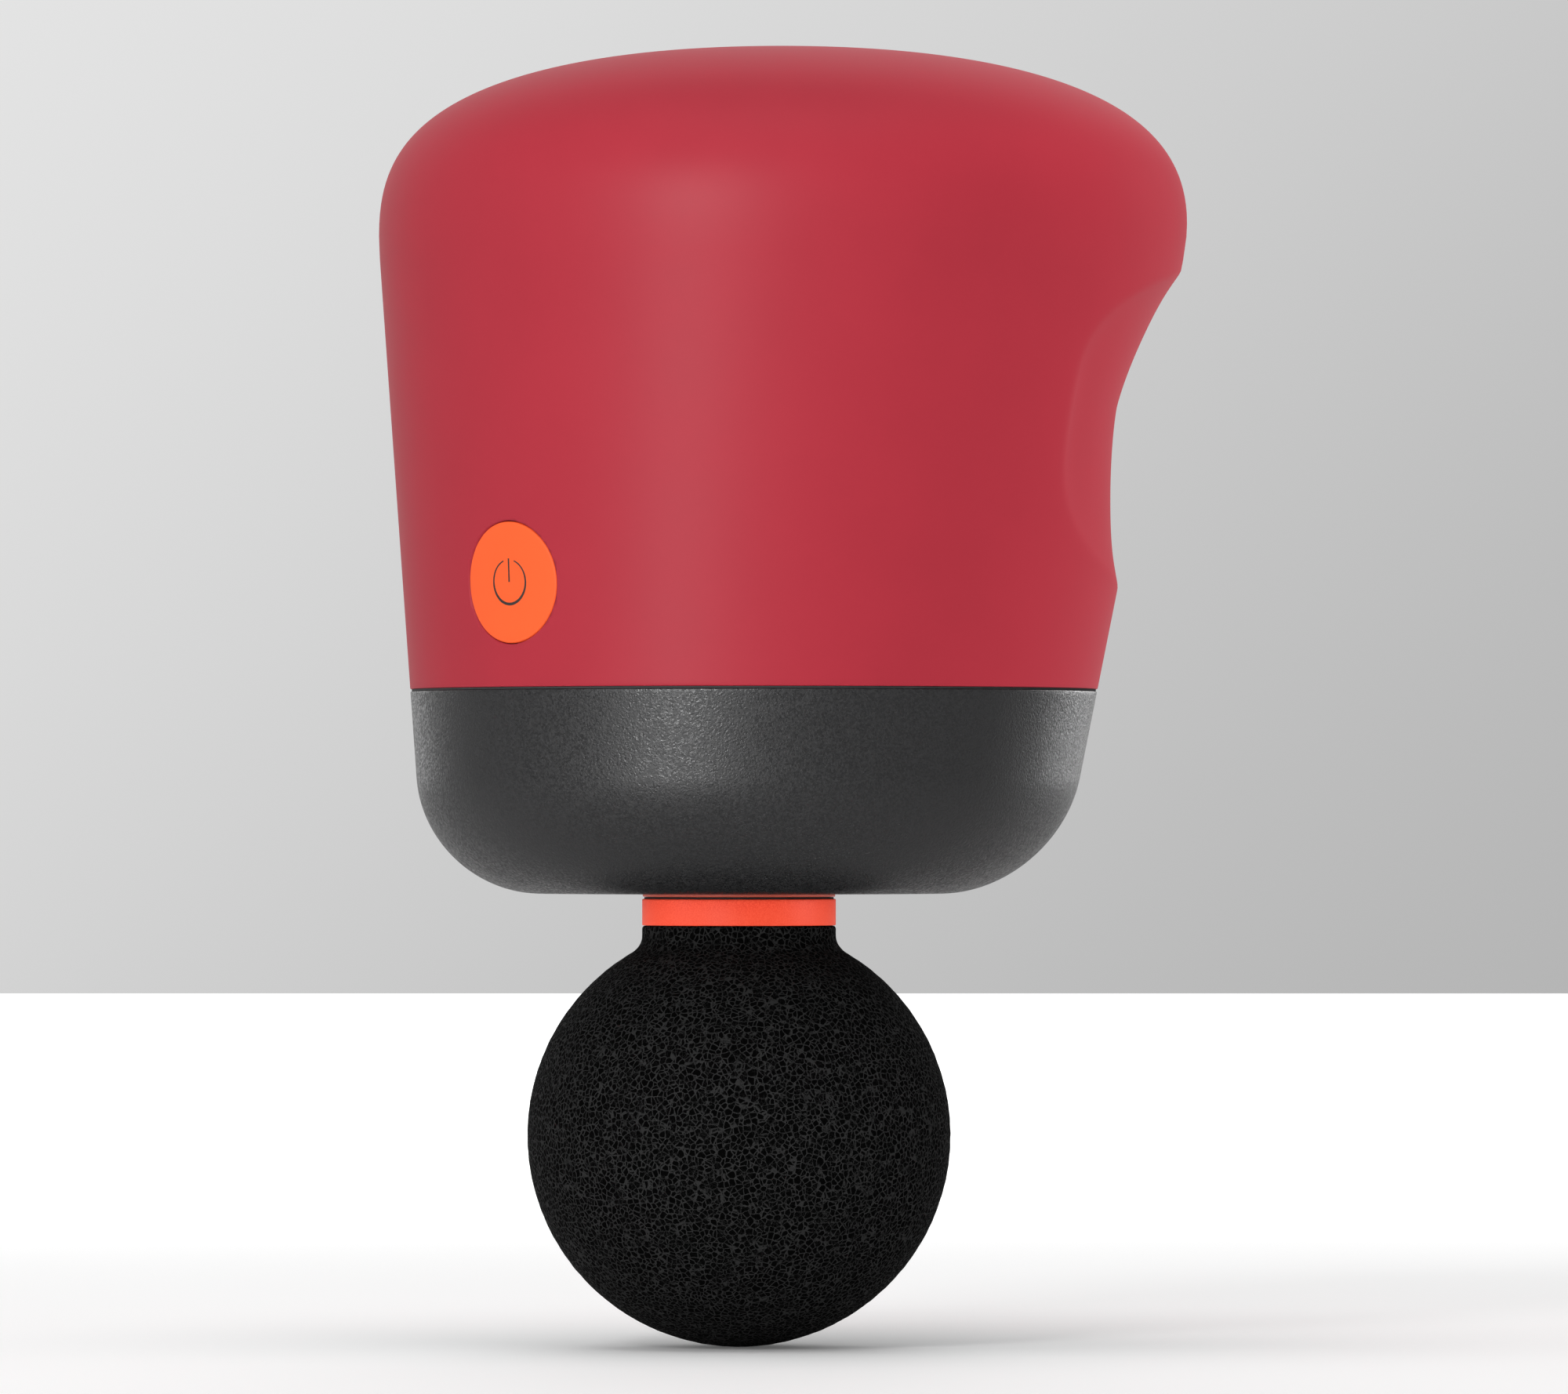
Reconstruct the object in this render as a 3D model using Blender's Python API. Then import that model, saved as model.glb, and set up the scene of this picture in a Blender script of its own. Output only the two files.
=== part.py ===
"""Palm-size percussion massager: housing, crank drive, plunger, foam ball head and power button.

The drive axis is Z. The button faces -Y and the finger groove wraps round the +Y side. The
origin is where the drive axis crosses the parting seam of the two housings.
"""

import math

import bmesh
import bpy
from mathutils import Matrix, Vector

MM = 0.001

# Housing shape
SEAM_RADIUS = 32.48 * MM
BODY_TOP = 60.9 * MM
BASE_DEPTH = 19.2 * MM
DOME_FOOT = 40.8 * MM
BASE_CORNER = 10.9 * MM
CONE_SLOPE = 0.137
CENTRE_SHIFT = 2.03 * MM
CENTRE_SLOPE = 0.0932
DOME_SHOULDER = 3.27
DOME_CROWN = 2.23
DOME_BLEND = 2.86
WALL = 2.2 * MM

# Finger groove: depth at the back, the height where it is deepest, its reach up and down,
# and how far round from the back it goes
GROOVE_DEPTH = 5.6 * MM
GROOVE_HEIGHT = 26.6 * MM
GROOVE_UP = 13.7 * MM
GROOVE_DOWN = 17.7 * MM
GROOVE_PROFILE = 1.45
GROOVE_REACH = math.radians(86)
GROOVE_ENDS = 3.35
GROOVE_RIM = 0.5 * MM

# Clearances
SEAM_GAP = 0.4 * MM
REST_GAP = 0.3 * MM
RUN_GAP = 0.05 * MM
TURN_GAP = 0.1 * MM
BUTTON_GAP = 0.22 * MM
SEAL_GAP = 0.1 * MM

# Parting joint
TONGUE_HEIGHT = 2.7 * MM
TONGUE_WALL = 1.2 * MM
GASKET_HEIGHT = 0.8 * MM
GASKET_WIDTH = 0.9 * MM
SNAP_BEAD = 0.35 * MM

# Power button
BUTTON_RADIUS = 5.65 * MM
BUTTON_HEIGHT = 9.8 * MM
BUTTON_TRAVEL = 0.4 * MM
BUTTON_THICKNESS = 2.4 * MM

# Plunger, crank and stroke
STROKE = 6.0 * MM
PLUNGER_RADIUS = 6.0 * MM
SOCKET_RADIUS = 4.0 * MM
SOCKET_DEPTH = 16.2 * MM
SHANK_RADIUS = 3.0 * MM
PIN_RADIUS = 2.0 * MM
ROLLER_RADIUS = 4.0 * MM
SLOT_PLAY = 0.75 * MM
YOKE_THICKNESS = 5.0 * MM
WHEEL_THICKNESS = 4.5 * MM
SHAFT_RADIUS = 1.5 * MM

# Nose and its seals
NOSE_RADIUS = 9.1 * MM
NOSE_PROUD = 0.3 * MM
BUSHING_WALL = 2.0 * MM
BUSHING_LENGTH = 11.6 * MM
BARREL_WALL = 1.8 * MM

# Motor
MOTOR_RADIUS = 13.0 * MM
MOTOR_LENGTH = 14.5 * MM
BELL_WALL = 0.9 * MM
MAGNET_THICKNESS = 1.3 * MM
TEETH = 9

# Cells
CELL_RADIUS = 9.1 * MM
CELL_LENGTH = 49.0 * MM

# Massage head
BALL_RADIUS = 20.0 * MM
COLLAR_RADIUS = 9.15 * MM
COLLAR_HEIGHT = 2.5 * MM
NECK_LENGTH = 0.9 * MM
NECK_FILLET = 2.0 * MM
CORE_RADIUS = 6.9 * MM
ORING_SECTION = 0.4 * MM

# Boards and charge port
BOARD_THICKNESS = 1.6 * MM
PORT_WIDTH = 8.94 * MM
PORT_HEIGHT = 3.26 * MM
PORT_LEVEL = -6.0 * MM

# Screws
SCREW_CIRCLE = 14.5 * MM
SCREW_RADIUS = 1.25 * MM
SCREW_HEAD = 2.5 * MM
SCREWS = 3

# Facets
HOUSING_SIDES = 48
WALL_ROWS = 13
DOME_ROWS = 8
ROUND_SIDES = 20
SMALL_SIDES = 12
WIRE_SIDES = 6

# Heights and depths that follow from the sizes above
CRANK_THROW = STROKE / 2
WHEEL_RADIUS = CRANK_THROW + PIN_RADIUS + 3.0 * MM
YOKE_FRONT = -YOKE_THICKNESS / 2
YOKE_BACK = YOKE_THICKNESS / 2
WHEEL_FRONT = YOKE_BACK + 1.0 * MM
WHEEL_BACK = WHEEL_FRONT + WHEEL_THICKNESS
MOTOR_WALL_FRONT = WHEEL_BACK + 1.2 * MM
MOTOR_WALL_BACK = MOTOR_WALL_FRONT + 2.5 * MM
PLUNGER_BOTTOM = -BASE_DEPTH - 0.2 * MM
PLUNGER_TOP = 8.0 * MM
CRANK_AXIS = PLUNGER_TOP + WHEEL_RADIUS + 2.0 * MM
SLOT_HEIGHT = ROLLER_RADIUS + SLOT_PLAY
SLOT_HALF = CRANK_THROW + ROLLER_RADIUS + 0.9 * MM
YOKE_CENTRE = CRANK_AXIS + CRANK_THROW
CELL_AXIS = CRANK_AXIS + MOTOR_RADIUS + CELL_RADIUS + 3.4 * MM
CELL_BACK_SHIFT = 6.0 * MM
CELL_SPREAD = CELL_RADIUS + 0.4 * MM
COLLAR_TOP = PLUNGER_BOTTOM - REST_GAP
COLLAR_BOTTOM = COLLAR_TOP - COLLAR_HEIGHT
NECK_TOP = COLLAR_BOTTOM - REST_GAP
BALL_CENTRE = -42.0 * MM - (BALL_RADIUS - 20.0 * MM)
FLOOR = -BASE_DEPTH + WALL


# ---------------------------------------------------------------- shape helpers


def material(name, colour, roughness, metallic=0.0):
    made = bpy.data.materials.new(name)
    made.use_nodes = True
    shader = made.node_tree.nodes["Principled BSDF"]
    shader.inputs["Base Color"].default_value = (*colour, 1.0)
    shader.inputs["Roughness"].default_value = roughness
    shader.inputs["Metallic"].default_value = metallic
    made.diffuse_color = (*colour, 1.0)
    return made


def finish(name, shape, look):
    """Turns a closed bmesh into one named object."""
    bmesh.ops.recalc_face_normals(shape, faces=shape.faces[:])
    mesh = bpy.data.meshes.new(name)
    shape.to_mesh(mesh)
    shape.free()
    for face in mesh.polygons:
        face.use_smooth = True
    mesh.set_sharp_from_angle(angle=math.radians(35))
    made = bpy.data.objects.new(name, mesh)
    bpy.context.scene.collection.objects.link(made)
    if look is not None:
        mesh.materials.append(material(name, *look))
    return made


def skin(name, loops, look, ring=False):
    """Faces between loops of points. A loop of one point is a pole, and a ring closes on itself."""
    shape = bmesh.new()
    rows = [[shape.verts.new(point) for point in loop] for loop in loops]
    pairs = list(zip(rows, rows[1:]))
    if ring:
        pairs.append((rows[-1], rows[0]))
    for first, second in pairs:
        count = max(len(first), len(second))
        for i in range(count):
            j = (i + 1) % count
            if len(first) == 1:
                shape.faces.new((first[0], second[i], second[j]))
            elif len(second) == 1:
                shape.faces.new((first[i], second[0], first[j]))
            else:
                shape.faces.new((first[i], second[i], second[j], first[j]))
    return finish(name, shape, look)


def placed(axis, centre, across, along, angle):
    """A point at a radius and an angle round an axis through centre, and a height along it."""
    side = across * math.sin(angle)
    up = across * math.cos(angle)
    x, y, z = centre
    if axis == "X":
        return Vector((x + along, y + side, z + up))
    if axis == "Y":
        return Vector((x + side, y + along, z + up))
    return Vector((x + side, y - up, z + along))


def turned(name, profile, look, axis="Z", centre=(0, 0, 0), sides=ROUND_SIDES):
    """Turns (radius, height) pairs round an axis. A profile that starts at radius 0 ends there too."""
    loops = []
    for radius, height in profile:
        count = sides if radius > 0 else 1
        turns = [2 * math.pi * i / sides for i in range(count)]
        loops.append([placed(axis, centre, radius, height, turn) for turn in turns])
    return skin(name, loops, look, ring=profile[0][0] > 0)


def tube(name, inner, outer, low, high, look, axis="Z", centre=(0, 0, 0), sides=ROUND_SIDES, edge=0):
    """A plain ring between two radii, its outer corners cut back by edge."""
    profile = [(inner, low), (inner, high)]
    if edge:
        profile += [(outer - edge, high), (outer, high - edge), (outer, low + edge), (outer - edge, low)]
    else:
        profile += [(outer, high), (outer, low)]
    return turned(name, profile, look, axis, centre, sides)


def rod(name, radius, low, high, look, axis="Z", centre=(0, 0, 0), sides=ROUND_SIDES, edge=0):
    profile = [(0, low), (radius - edge, low)]
    if edge:
        profile += [(radius, low + edge), (radius, high - edge)]
    profile += [(radius - edge, high), (0, high)]
    return turned(name, profile, look, axis, centre, sides)


def block(name, low, high, look, edge=0, segments=1):
    shape = bmesh.new()
    bmesh.ops.create_cube(shape, size=1)
    low, high = Vector(low), Vector(high)
    size = high - low
    bmesh.ops.scale(shape, vec=size, verts=shape.verts)
    bmesh.ops.translate(shape, vec=(low + high) / 2, verts=shape.verts)
    if edge:
        bmesh.ops.bevel(
            shape,
            geom=shape.edges[:],
            offset=edge,
            segments=segments,
            profile=0.5,
            affect="EDGES",
            material=-1,
        )
    return finish(name, shape, look)


def helper(made):
    """Marks a tool shape that only cuts or is added, so it is no piece of its own."""
    made.hide_render = True
    made.display_type = "WIRE"
    return made


def combine(target, tool, operation):
    helper(tool)
    change = target.modifiers.new(tool.name, "BOOLEAN")
    change.operation = operation
    change.object = tool
    change.solver = "EXACT"


def cut(target, tool):
    combine(target, tool, "DIFFERENCE")


def add(target, tool):
    combine(target, tool, "UNION")


def swept(name, path, radius, look):
    """A round wire along a smooth path through the given points."""
    path = [Vector(point) for point in path]
    ends = [2 * path[0] - path[1], *path, 2 * path[-1] - path[-2]]
    points = []
    steps = 3
    for a, b, c, d in zip(ends, ends[1:], ends[2:], ends[3:]):
        for step in range(steps):
            t = step / steps
            points.append(
                0.5 * (2 * b + (c - a) * t + (2 * a - 5 * b + 4 * c - d) * t**2 + (3 * b - a - 3 * c + d) * t**3)
            )
    points.append(path[-1])
    side = Vector((0, 0, 1)).cross(points[1] - points[0])
    if side.length < 1e-6:
        side = Vector((1, 0, 0))
    loops = [[points[0]]]
    for i, point in enumerate(points):
        ahead = (points[min(i + 1, len(points) - 1)] - points[max(i - 1, 0)]).normalized()
        side = (side - side.dot(ahead) * ahead).normalized()
        over = ahead.cross(side)
        turns = [2 * math.pi * k / WIRE_SIDES for k in range(WIRE_SIDES)]
        loops.append([point + radius * (math.cos(turn) * side + math.sin(turn) * over) for turn in turns])
    loops.append([points[-1]])
    return skin(name, loops, look)


# ---------------------------------------------------------------- body surface


def body_radius(height, inset=0):
    """Radius of the round body at a height: a cone, a rounded bottom edge and a flattened dome."""
    if height > DOME_FOOT:
        rise = BODY_TOP - inset - DOME_FOOT
        part = min(1, (height - DOME_FOOT) / rise)
        foot = SEAM_RADIUS + CONE_SLOPE * DOME_FOOT - inset
        crown = foot * (1 - part**DOME_SHOULDER) ** (1 / DOME_CROWN)
        return crown + CONE_SLOPE * rise * part * (1 - part) ** DOME_BLEND
    radius = SEAM_RADIUS + CONE_SLOPE * height - inset
    corner_top = -BASE_DEPTH + BASE_CORNER
    if height < corner_top:
        drop = min(1, (corner_top - height) / BASE_CORNER)
        radius -= BASE_CORNER * (1 - math.sqrt(1 - drop**2))
    return radius


def body_centre(height):
    """How far behind the drive axis the body's round section is centred at a height."""
    if height > DOME_FOOT:
        rise = BODY_TOP - DOME_FOOT
        part = min(1, (height - DOME_FOOT) / rise)
        return body_centre(DOME_FOOT) + CENTRE_SLOPE * rise * part * (1 - part) ** 2
    return CENTRE_SHIFT + CENTRE_SLOPE * height


def groove_radius(angle, height):
    """Radius of the groove's floor, a larger circle set forward of the body's, or none there."""
    reach = GROOVE_UP if height > GROOVE_HEIGHT else GROOVE_DOWN
    part = abs(height - GROOVE_HEIGHT) / reach
    if part >= 1:
        return math.inf
    body = body_radius(height)
    depth = GROOVE_DEPTH * (1 - part**GROOVE_PROFILE)
    half = GROOVE_REACH * (1 - part**GROOVE_ENDS) ** (1 / GROOVE_ENDS)
    shift = (2 * body * depth - depth**2) / (2 * (body * (1 - math.cos(half)) - depth))
    circle = body - depth + shift
    inside = circle**2 - (shift * math.sin(angle)) ** 2
    return shift * math.cos(angle) + math.sqrt(max(inside, 0))


def surface_radius(angle, height, inset=0):
    """Radius of the outer skin, or of one inset from it, with the groove's rim rounded over."""
    body = body_radius(height, inset)
    groove = groove_radius(angle, height) - inset
    reach = GROOVE_UP if height > GROOVE_HEIGHT else GROOVE_DOWN
    rim = GROOVE_RIM * max(0, 1 - (abs(height - GROOVE_HEIGHT) / reach) ** 4)
    if groove > body + rim:
        return body
    blend = max(0, min(1, 0.5 + 0.5 * (groove - body) / rim))
    return groove * (1 - blend) + body * blend - rim * blend * (1 - blend)


def body_loop(height, inset=0, sunk=0):
    """A loop round the body: inset follows its wall, and sunk is a plain step inwards."""
    loop = []
    for i in range(HOUSING_SIDES):
        angle = 2 * math.pi * i / HOUSING_SIDES
        radius = surface_radius(angle, height, inset) - sunk
        loop.append(Vector((radius * math.sin(angle), body_centre(height) - radius * math.cos(angle), height)))
    return loop


def axis_loop(radius, height):
    """A loop round the drive axis with as many points as the body's."""
    turns = [2 * math.pi * i / HOUSING_SIDES for i in range(HOUSING_SIDES)]
    return [Vector((radius * math.sin(turn), -radius * math.cos(turn), height)) for turn in turns]


def dome_heights(top, rows):
    """Heights up the dome that step evenly round its curve."""
    heights = []
    for row in range(1, rows):
        turn = math.pi / 2 * row / rows
        part = (1 - math.cos(turn) ** DOME_CROWN) ** (1 / DOME_SHOULDER)
        heights.append(DOME_FOOT + (top - DOME_FOOT) * part)
    return heights


def front_surface(side, height):
    """The y of the housing's front skin at a sideways distance and a height."""
    return body_centre(height) - math.sqrt(body_radius(height) ** 2 - side**2)


# ---------------------------------------------------------------- housings


def make_upper_housing():
    rim = SEAM_GAP / 2
    ledge = rim + GASKET_HEIGHT + 2 * REST_GAP - SEAM_GAP
    step = WALL - GASKET_WIDTH - REST_GAP
    outer_heights = [rim + (DOME_FOOT - rim) * row / WALL_ROWS for row in range(WALL_ROWS + 1)]
    outer_heights += dome_heights(BODY_TOP, DOME_ROWS)
    loops = [body_loop(height) for height in outer_heights]
    loops.append([Vector((0, body_centre(BODY_TOP), BODY_TOP))])
    inner_top = BODY_TOP - WALL
    loops.append([Vector((0, body_centre(inner_top), inner_top))])
    for height in reversed(dome_heights(inner_top, 5)):
        loops.append(body_loop(height, WALL))
    snap_top = ledge + 0.15 * MM + 2 * (SNAP_BEAD + 0.3 * MM)
    rows = 8
    for row in range(rows + 1):
        height = DOME_FOOT + (snap_top - DOME_FOOT) * row / rows
        loops.append(body_loop(height, WALL))
    snap_middle = (snap_top + ledge + 0.15 * MM) / 2
    loops.append(body_loop(snap_middle, WALL, -SNAP_BEAD - 0.05 * MM))
    loops.append(body_loop(ledge + 0.15 * MM, WALL))
    loops.append(body_loop(ledge, WALL))
    loops.append(body_loop(ledge, 0, step))
    loops.append(body_loop(rim, 0, step))
    # The two poles face each other through the dome's wall, so the chain is one shell each side.
    pole = WALL_ROWS + 1 + DOME_ROWS - 1
    shape = bmesh.new()
    rows = [[shape.verts.new(point) for point in loop] for loop in loops]
    pairs = [(i, i + 1) for i in range(len(rows) - 1) if i != pole] + [(len(rows) - 1, 0)]
    for a, b in pairs:
        first, second = rows[a], rows[b]
        for i in range(HOUSING_SIDES):
            j = (i + 1) % HOUSING_SIDES
            if len(first) == 1:
                shape.faces.new((first[0], second[i], second[j]))
            elif len(second) == 1:
                shape.faces.new((first[i], second[0], first[j]))
            else:
                shape.faces.new((first[i], second[i], second[j], first[j]))
    housing = finish("upper_housing", shape, ((0.42, 0.035, 0.05), 0.42))
    hole = rod(
        "button_hole",
        BUTTON_RADIUS + BUTTON_GAP,
        front_surface(0, BUTTON_HEIGHT) - 3 * MM,
        front_surface(0, BUTTON_HEIGHT) + 6 * MM,
        None,
        "Y",
        (0, 0, BUTTON_HEIGHT),
    )
    cut(housing, hole)


def snap_heights():
    """Where the base's snap bead starts, peaks and ends."""
    ledge = SEAM_GAP / 2 + GASKET_HEIGHT + 2 * REST_GAP - SEAM_GAP
    middle = ledge + 0.15 * MM + SNAP_BEAD + 0.3 * MM
    return middle - SNAP_BEAD - 0.15 * MM, middle, middle + SNAP_BEAD + 0.15 * MM


def make_base_housing():
    rim = -SEAM_GAP / 2
    tongue = WALL + REST_GAP
    corner_top = -BASE_DEPTH + BASE_CORNER
    loops = [axis_loop(NOSE_RADIUS + REST_GAP, -BASE_DEPTH)]
    rows = 6
    for row in range(rows + 1):
        turn = math.pi / 2 * (1 - row / rows)
        loops.append(body_loop(corner_top - BASE_CORNER * math.sin(turn)))
    rows = 3
    for row in range(1, rows + 1):
        loops.append(body_loop(corner_top + (rim - corner_top) * row / rows))
    loops.append(body_loop(rim, tongue))
    low, middle, high = snap_heights()
    loops.append(body_loop(low, tongue))
    loops.append(body_loop(middle, tongue, -SNAP_BEAD))
    loops.append(body_loop(high, tongue))
    loops.append(body_loop(TONGUE_HEIGHT, tongue))
    loops.append(body_loop(TONGUE_HEIGHT, tongue + TONGUE_WALL))
    loops.append(body_loop(rim - 3 * MM, tongue + TONGUE_WALL))
    loops.append(body_loop(rim - 5 * MM, WALL))
    rows = 4
    for row in range(1, rows + 1):
        turn = math.pi / 2 * row / rows
        height = corner_top - (BASE_CORNER - WALL) * math.sin(turn)
        drop = BASE_CORNER * (1 - math.sqrt(1 - min(1, (corner_top - height) / BASE_CORNER) ** 2))
        step = (BASE_CORNER - WALL) * (1 - math.cos(turn)) - drop
        loops.append(body_loop(height, WALL, step))
    loops.append(axis_loop(NOSE_RADIUS + REST_GAP, FLOOR))
    housing = skin("base_housing", loops, ((0.03, 0.03, 0.033), 0.55), ring=True)
    back = body_centre(PORT_LEVEL) + body_radius(PORT_LEVEL)
    slot = block(
        "port_slot",
        (-PORT_WIDTH / 2 - REST_GAP, back - 8 * MM, PORT_LEVEL - PORT_HEIGHT / 2 - REST_GAP),
        (PORT_WIDTH / 2 + REST_GAP, back + 3 * MM, PORT_LEVEL + PORT_HEIGHT / 2 + REST_GAP),
        None,
        1.5 * MM,
        3,
    )
    for side in (-1, 1):
        low_x, high_x = sorted((side * 6 * MM, side * 8.5 * MM))
        top = PORT_LEVEL - PORT_HEIGHT / 2 - REST_GAP - BOARD_THICKNESS / 2 - 0.6 * MM
        rib = block(
            "port_rib_%s" % ("left" if side < 0 else "right"),
            (low_x, 19.5 * MM, FLOOR - 0.2 * MM),
            (high_x, body_centre(PORT_LEVEL) + 20 * MM, top),
            None,
        )
        add(housing, rib)
    cut(housing, slot)
    for number in range(SCREWS):
        x, y = screw_place(number)
        recess = rod(
            "screw_recess_%d" % number,
            SCREW_HEAD + REST_GAP,
            -BASE_DEPTH - 1 * MM,
            -BASE_DEPTH + 1.3 * MM,
            None,
            "Z",
            (x, y, 0),
            SMALL_SIDES,
        )
        hole = rod(
            "screw_hole_%d" % number,
            SCREW_RADIUS + REST_GAP,
            -BASE_DEPTH - 0.5 * MM,
            FLOOR + 1 * MM,
            None,
            "Z",
            (x, y, 0),
            SMALL_SIDES,
        )
        cut(housing, recess)
        cut(housing, hole)


def screw_place(number):
    turn = math.pi / 2 + 2 * math.pi * number / SCREWS
    return SCREW_CIRCLE * math.cos(turn), SCREW_CIRCLE * math.sin(turn)


def make_gasket():
    low = -SEAM_GAP / 2 + REST_GAP
    high = low + GASKET_HEIGHT
    loops = [
        body_loop(low, WALL),
        body_loop(low, WALL, -GASKET_WIDTH),
        body_loop(high, WALL, -GASKET_WIDTH),
        body_loop(high, WALL),
    ]
    skin("seam_gasket", loops, ((0.01, 0.01, 0.012), 0.8), ring=True)


def make_screws():
    for number in range(SCREWS):
        x, y = screw_place(number)
        head = -BASE_DEPTH + 0.2 * MM
        neck = head + 0.9 * MM
        profile = [(0, head + 0.5 * MM), (0.9 * MM, head + 0.5 * MM), (1.0 * MM, head), (SCREW_HEAD, head)]
        profile += [(SCREW_HEAD, neck), (SCREW_RADIUS, neck), (SCREW_RADIUS, FLOOR + 5.6 * MM), (0, FLOOR + 5.6 * MM)]
        turned(
            "housing_screw_%d" % (number + 1),
            profile,
            ((0.35, 0.35, 0.36), 0.35, 1.0),
            "Z",
            (x, y, 0),
            SMALL_SIDES,
        )
        tube(
            "rubber_mount_%d" % (number + 1),
            SCREW_RADIUS + REST_GAP,
            3.6 * MM,
            FLOOR + REST_GAP,
            FLOOR + 3.1 * MM,
            ((0.02, 0.02, 0.02), 0.9),
            "Z",
            (x, y, 0),
            SMALL_SIDES,
            0.4 * MM,
        )


# ---------------------------------------------------------------- nose, frame and bushing


def make_nose():
    inner = PLUNGER_RADIUS + REST_GAP
    seat = PLUNGER_RADIUS + 2.2 * MM
    lip = -BASE_DEPTH - NOSE_PROUD
    top = FLOOR + 0.9 * MM
    profile = [
        (inner, lip),
        (inner, -BASE_DEPTH + 0.8 * MM),
        (seat, -BASE_DEPTH + 0.8 * MM),
        (seat, top),
        (NOSE_RADIUS + 1.5 * MM, top),
        (NOSE_RADIUS + 1.5 * MM, FLOOR + REST_GAP),
        (NOSE_RADIUS, FLOOR + REST_GAP),
        (NOSE_RADIUS, lip + 0.2 * MM),
        (NOSE_RADIUS - 0.2 * MM, lip),
    ]
    turned("nose_ring", profile, ((0.8, 0.14, 0.06), 0.45))
    tube(
        "wiper_seal",
        PLUNGER_RADIUS + SEAL_GAP,
        seat - REST_GAP,
        -BASE_DEPTH + 1.1 * MM,
        FLOOR + 0.5 * MM,
        ((0.015, 0.015, 0.015), 0.85),
        edge=0.2 * MM,
    )
    bottom = FLOOR + 1.4 * MM
    tube(
        "guide_bushing",
        PLUNGER_RADIUS + RUN_GAP,
        PLUNGER_RADIUS + BUSHING_WALL,
        bottom,
        bottom + BUSHING_LENGTH,
        ((0.75, 0.72, 0.66), 0.5),
        edge=0.3 * MM,
    )


def make_frame():
    barrel_inner = PLUNGER_RADIUS + BUSHING_WALL + REST_GAP
    barrel_outer = barrel_inner + BARREL_WALL
    bottom = FLOOR + 1.2 * MM
    disc_low = FLOOR + 3.4 * MM
    disc_high = disc_low + 3.0 * MM
    top = bottom + BUSHING_LENGTH + 2 * MM
    disc_outer = SCREW_CIRCLE + 4 * MM
    profile = [
        (barrel_inner, bottom),
        (barrel_inner, top),
        (barrel_outer, top),
        (barrel_outer, disc_high),
        (disc_outer, disc_high),
        (disc_outer, disc_low),
        (barrel_outer, disc_low),
        (barrel_outer, bottom),
    ]
    frame = turned("drive_frame", profile, ((0.55, 0.55, 0.57), 0.45, 1.0))
    half = MOTOR_RADIUS
    wall = block(
        "motor_wall",
        (-half, MOTOR_WALL_FRONT, disc_low + 0.7 * MM),
        (half, MOTOR_WALL_BACK, CELL_AXIS - CELL_RADIUS - 2.6 * MM),
        None,
    )
    add(frame, wall)
    bore = rod("frame_bore", barrel_inner, bottom - 2 * MM, top + 2 * MM, None)
    cut(frame, bore)
    hole = rod(
        "motor_wall_hole",
        SHAFT_RADIUS + 2.7 * MM,
        MOTOR_WALL_FRONT - 1 * MM,
        MOTOR_WALL_BACK + 1 * MM,
        None,
        "Y",
        (0, 0, CRANK_AXIS),
        SMALL_SIDES,
    )
    cut(frame, hole)
    for number in range(SCREWS):
        x, y = screw_place(number)
        hole = rod(
            "frame_screw_hole_%d" % number,
            SCREW_RADIUS + SEAL_GAP,
            disc_low - 1 * MM,
            disc_high - 0.5 * MM,
            None,
            "Z",
            (x, y, 0),
            SMALL_SIDES,
        )
        cut(frame, hole)


# ---------------------------------------------------------------- motor, crank and plunger


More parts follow.
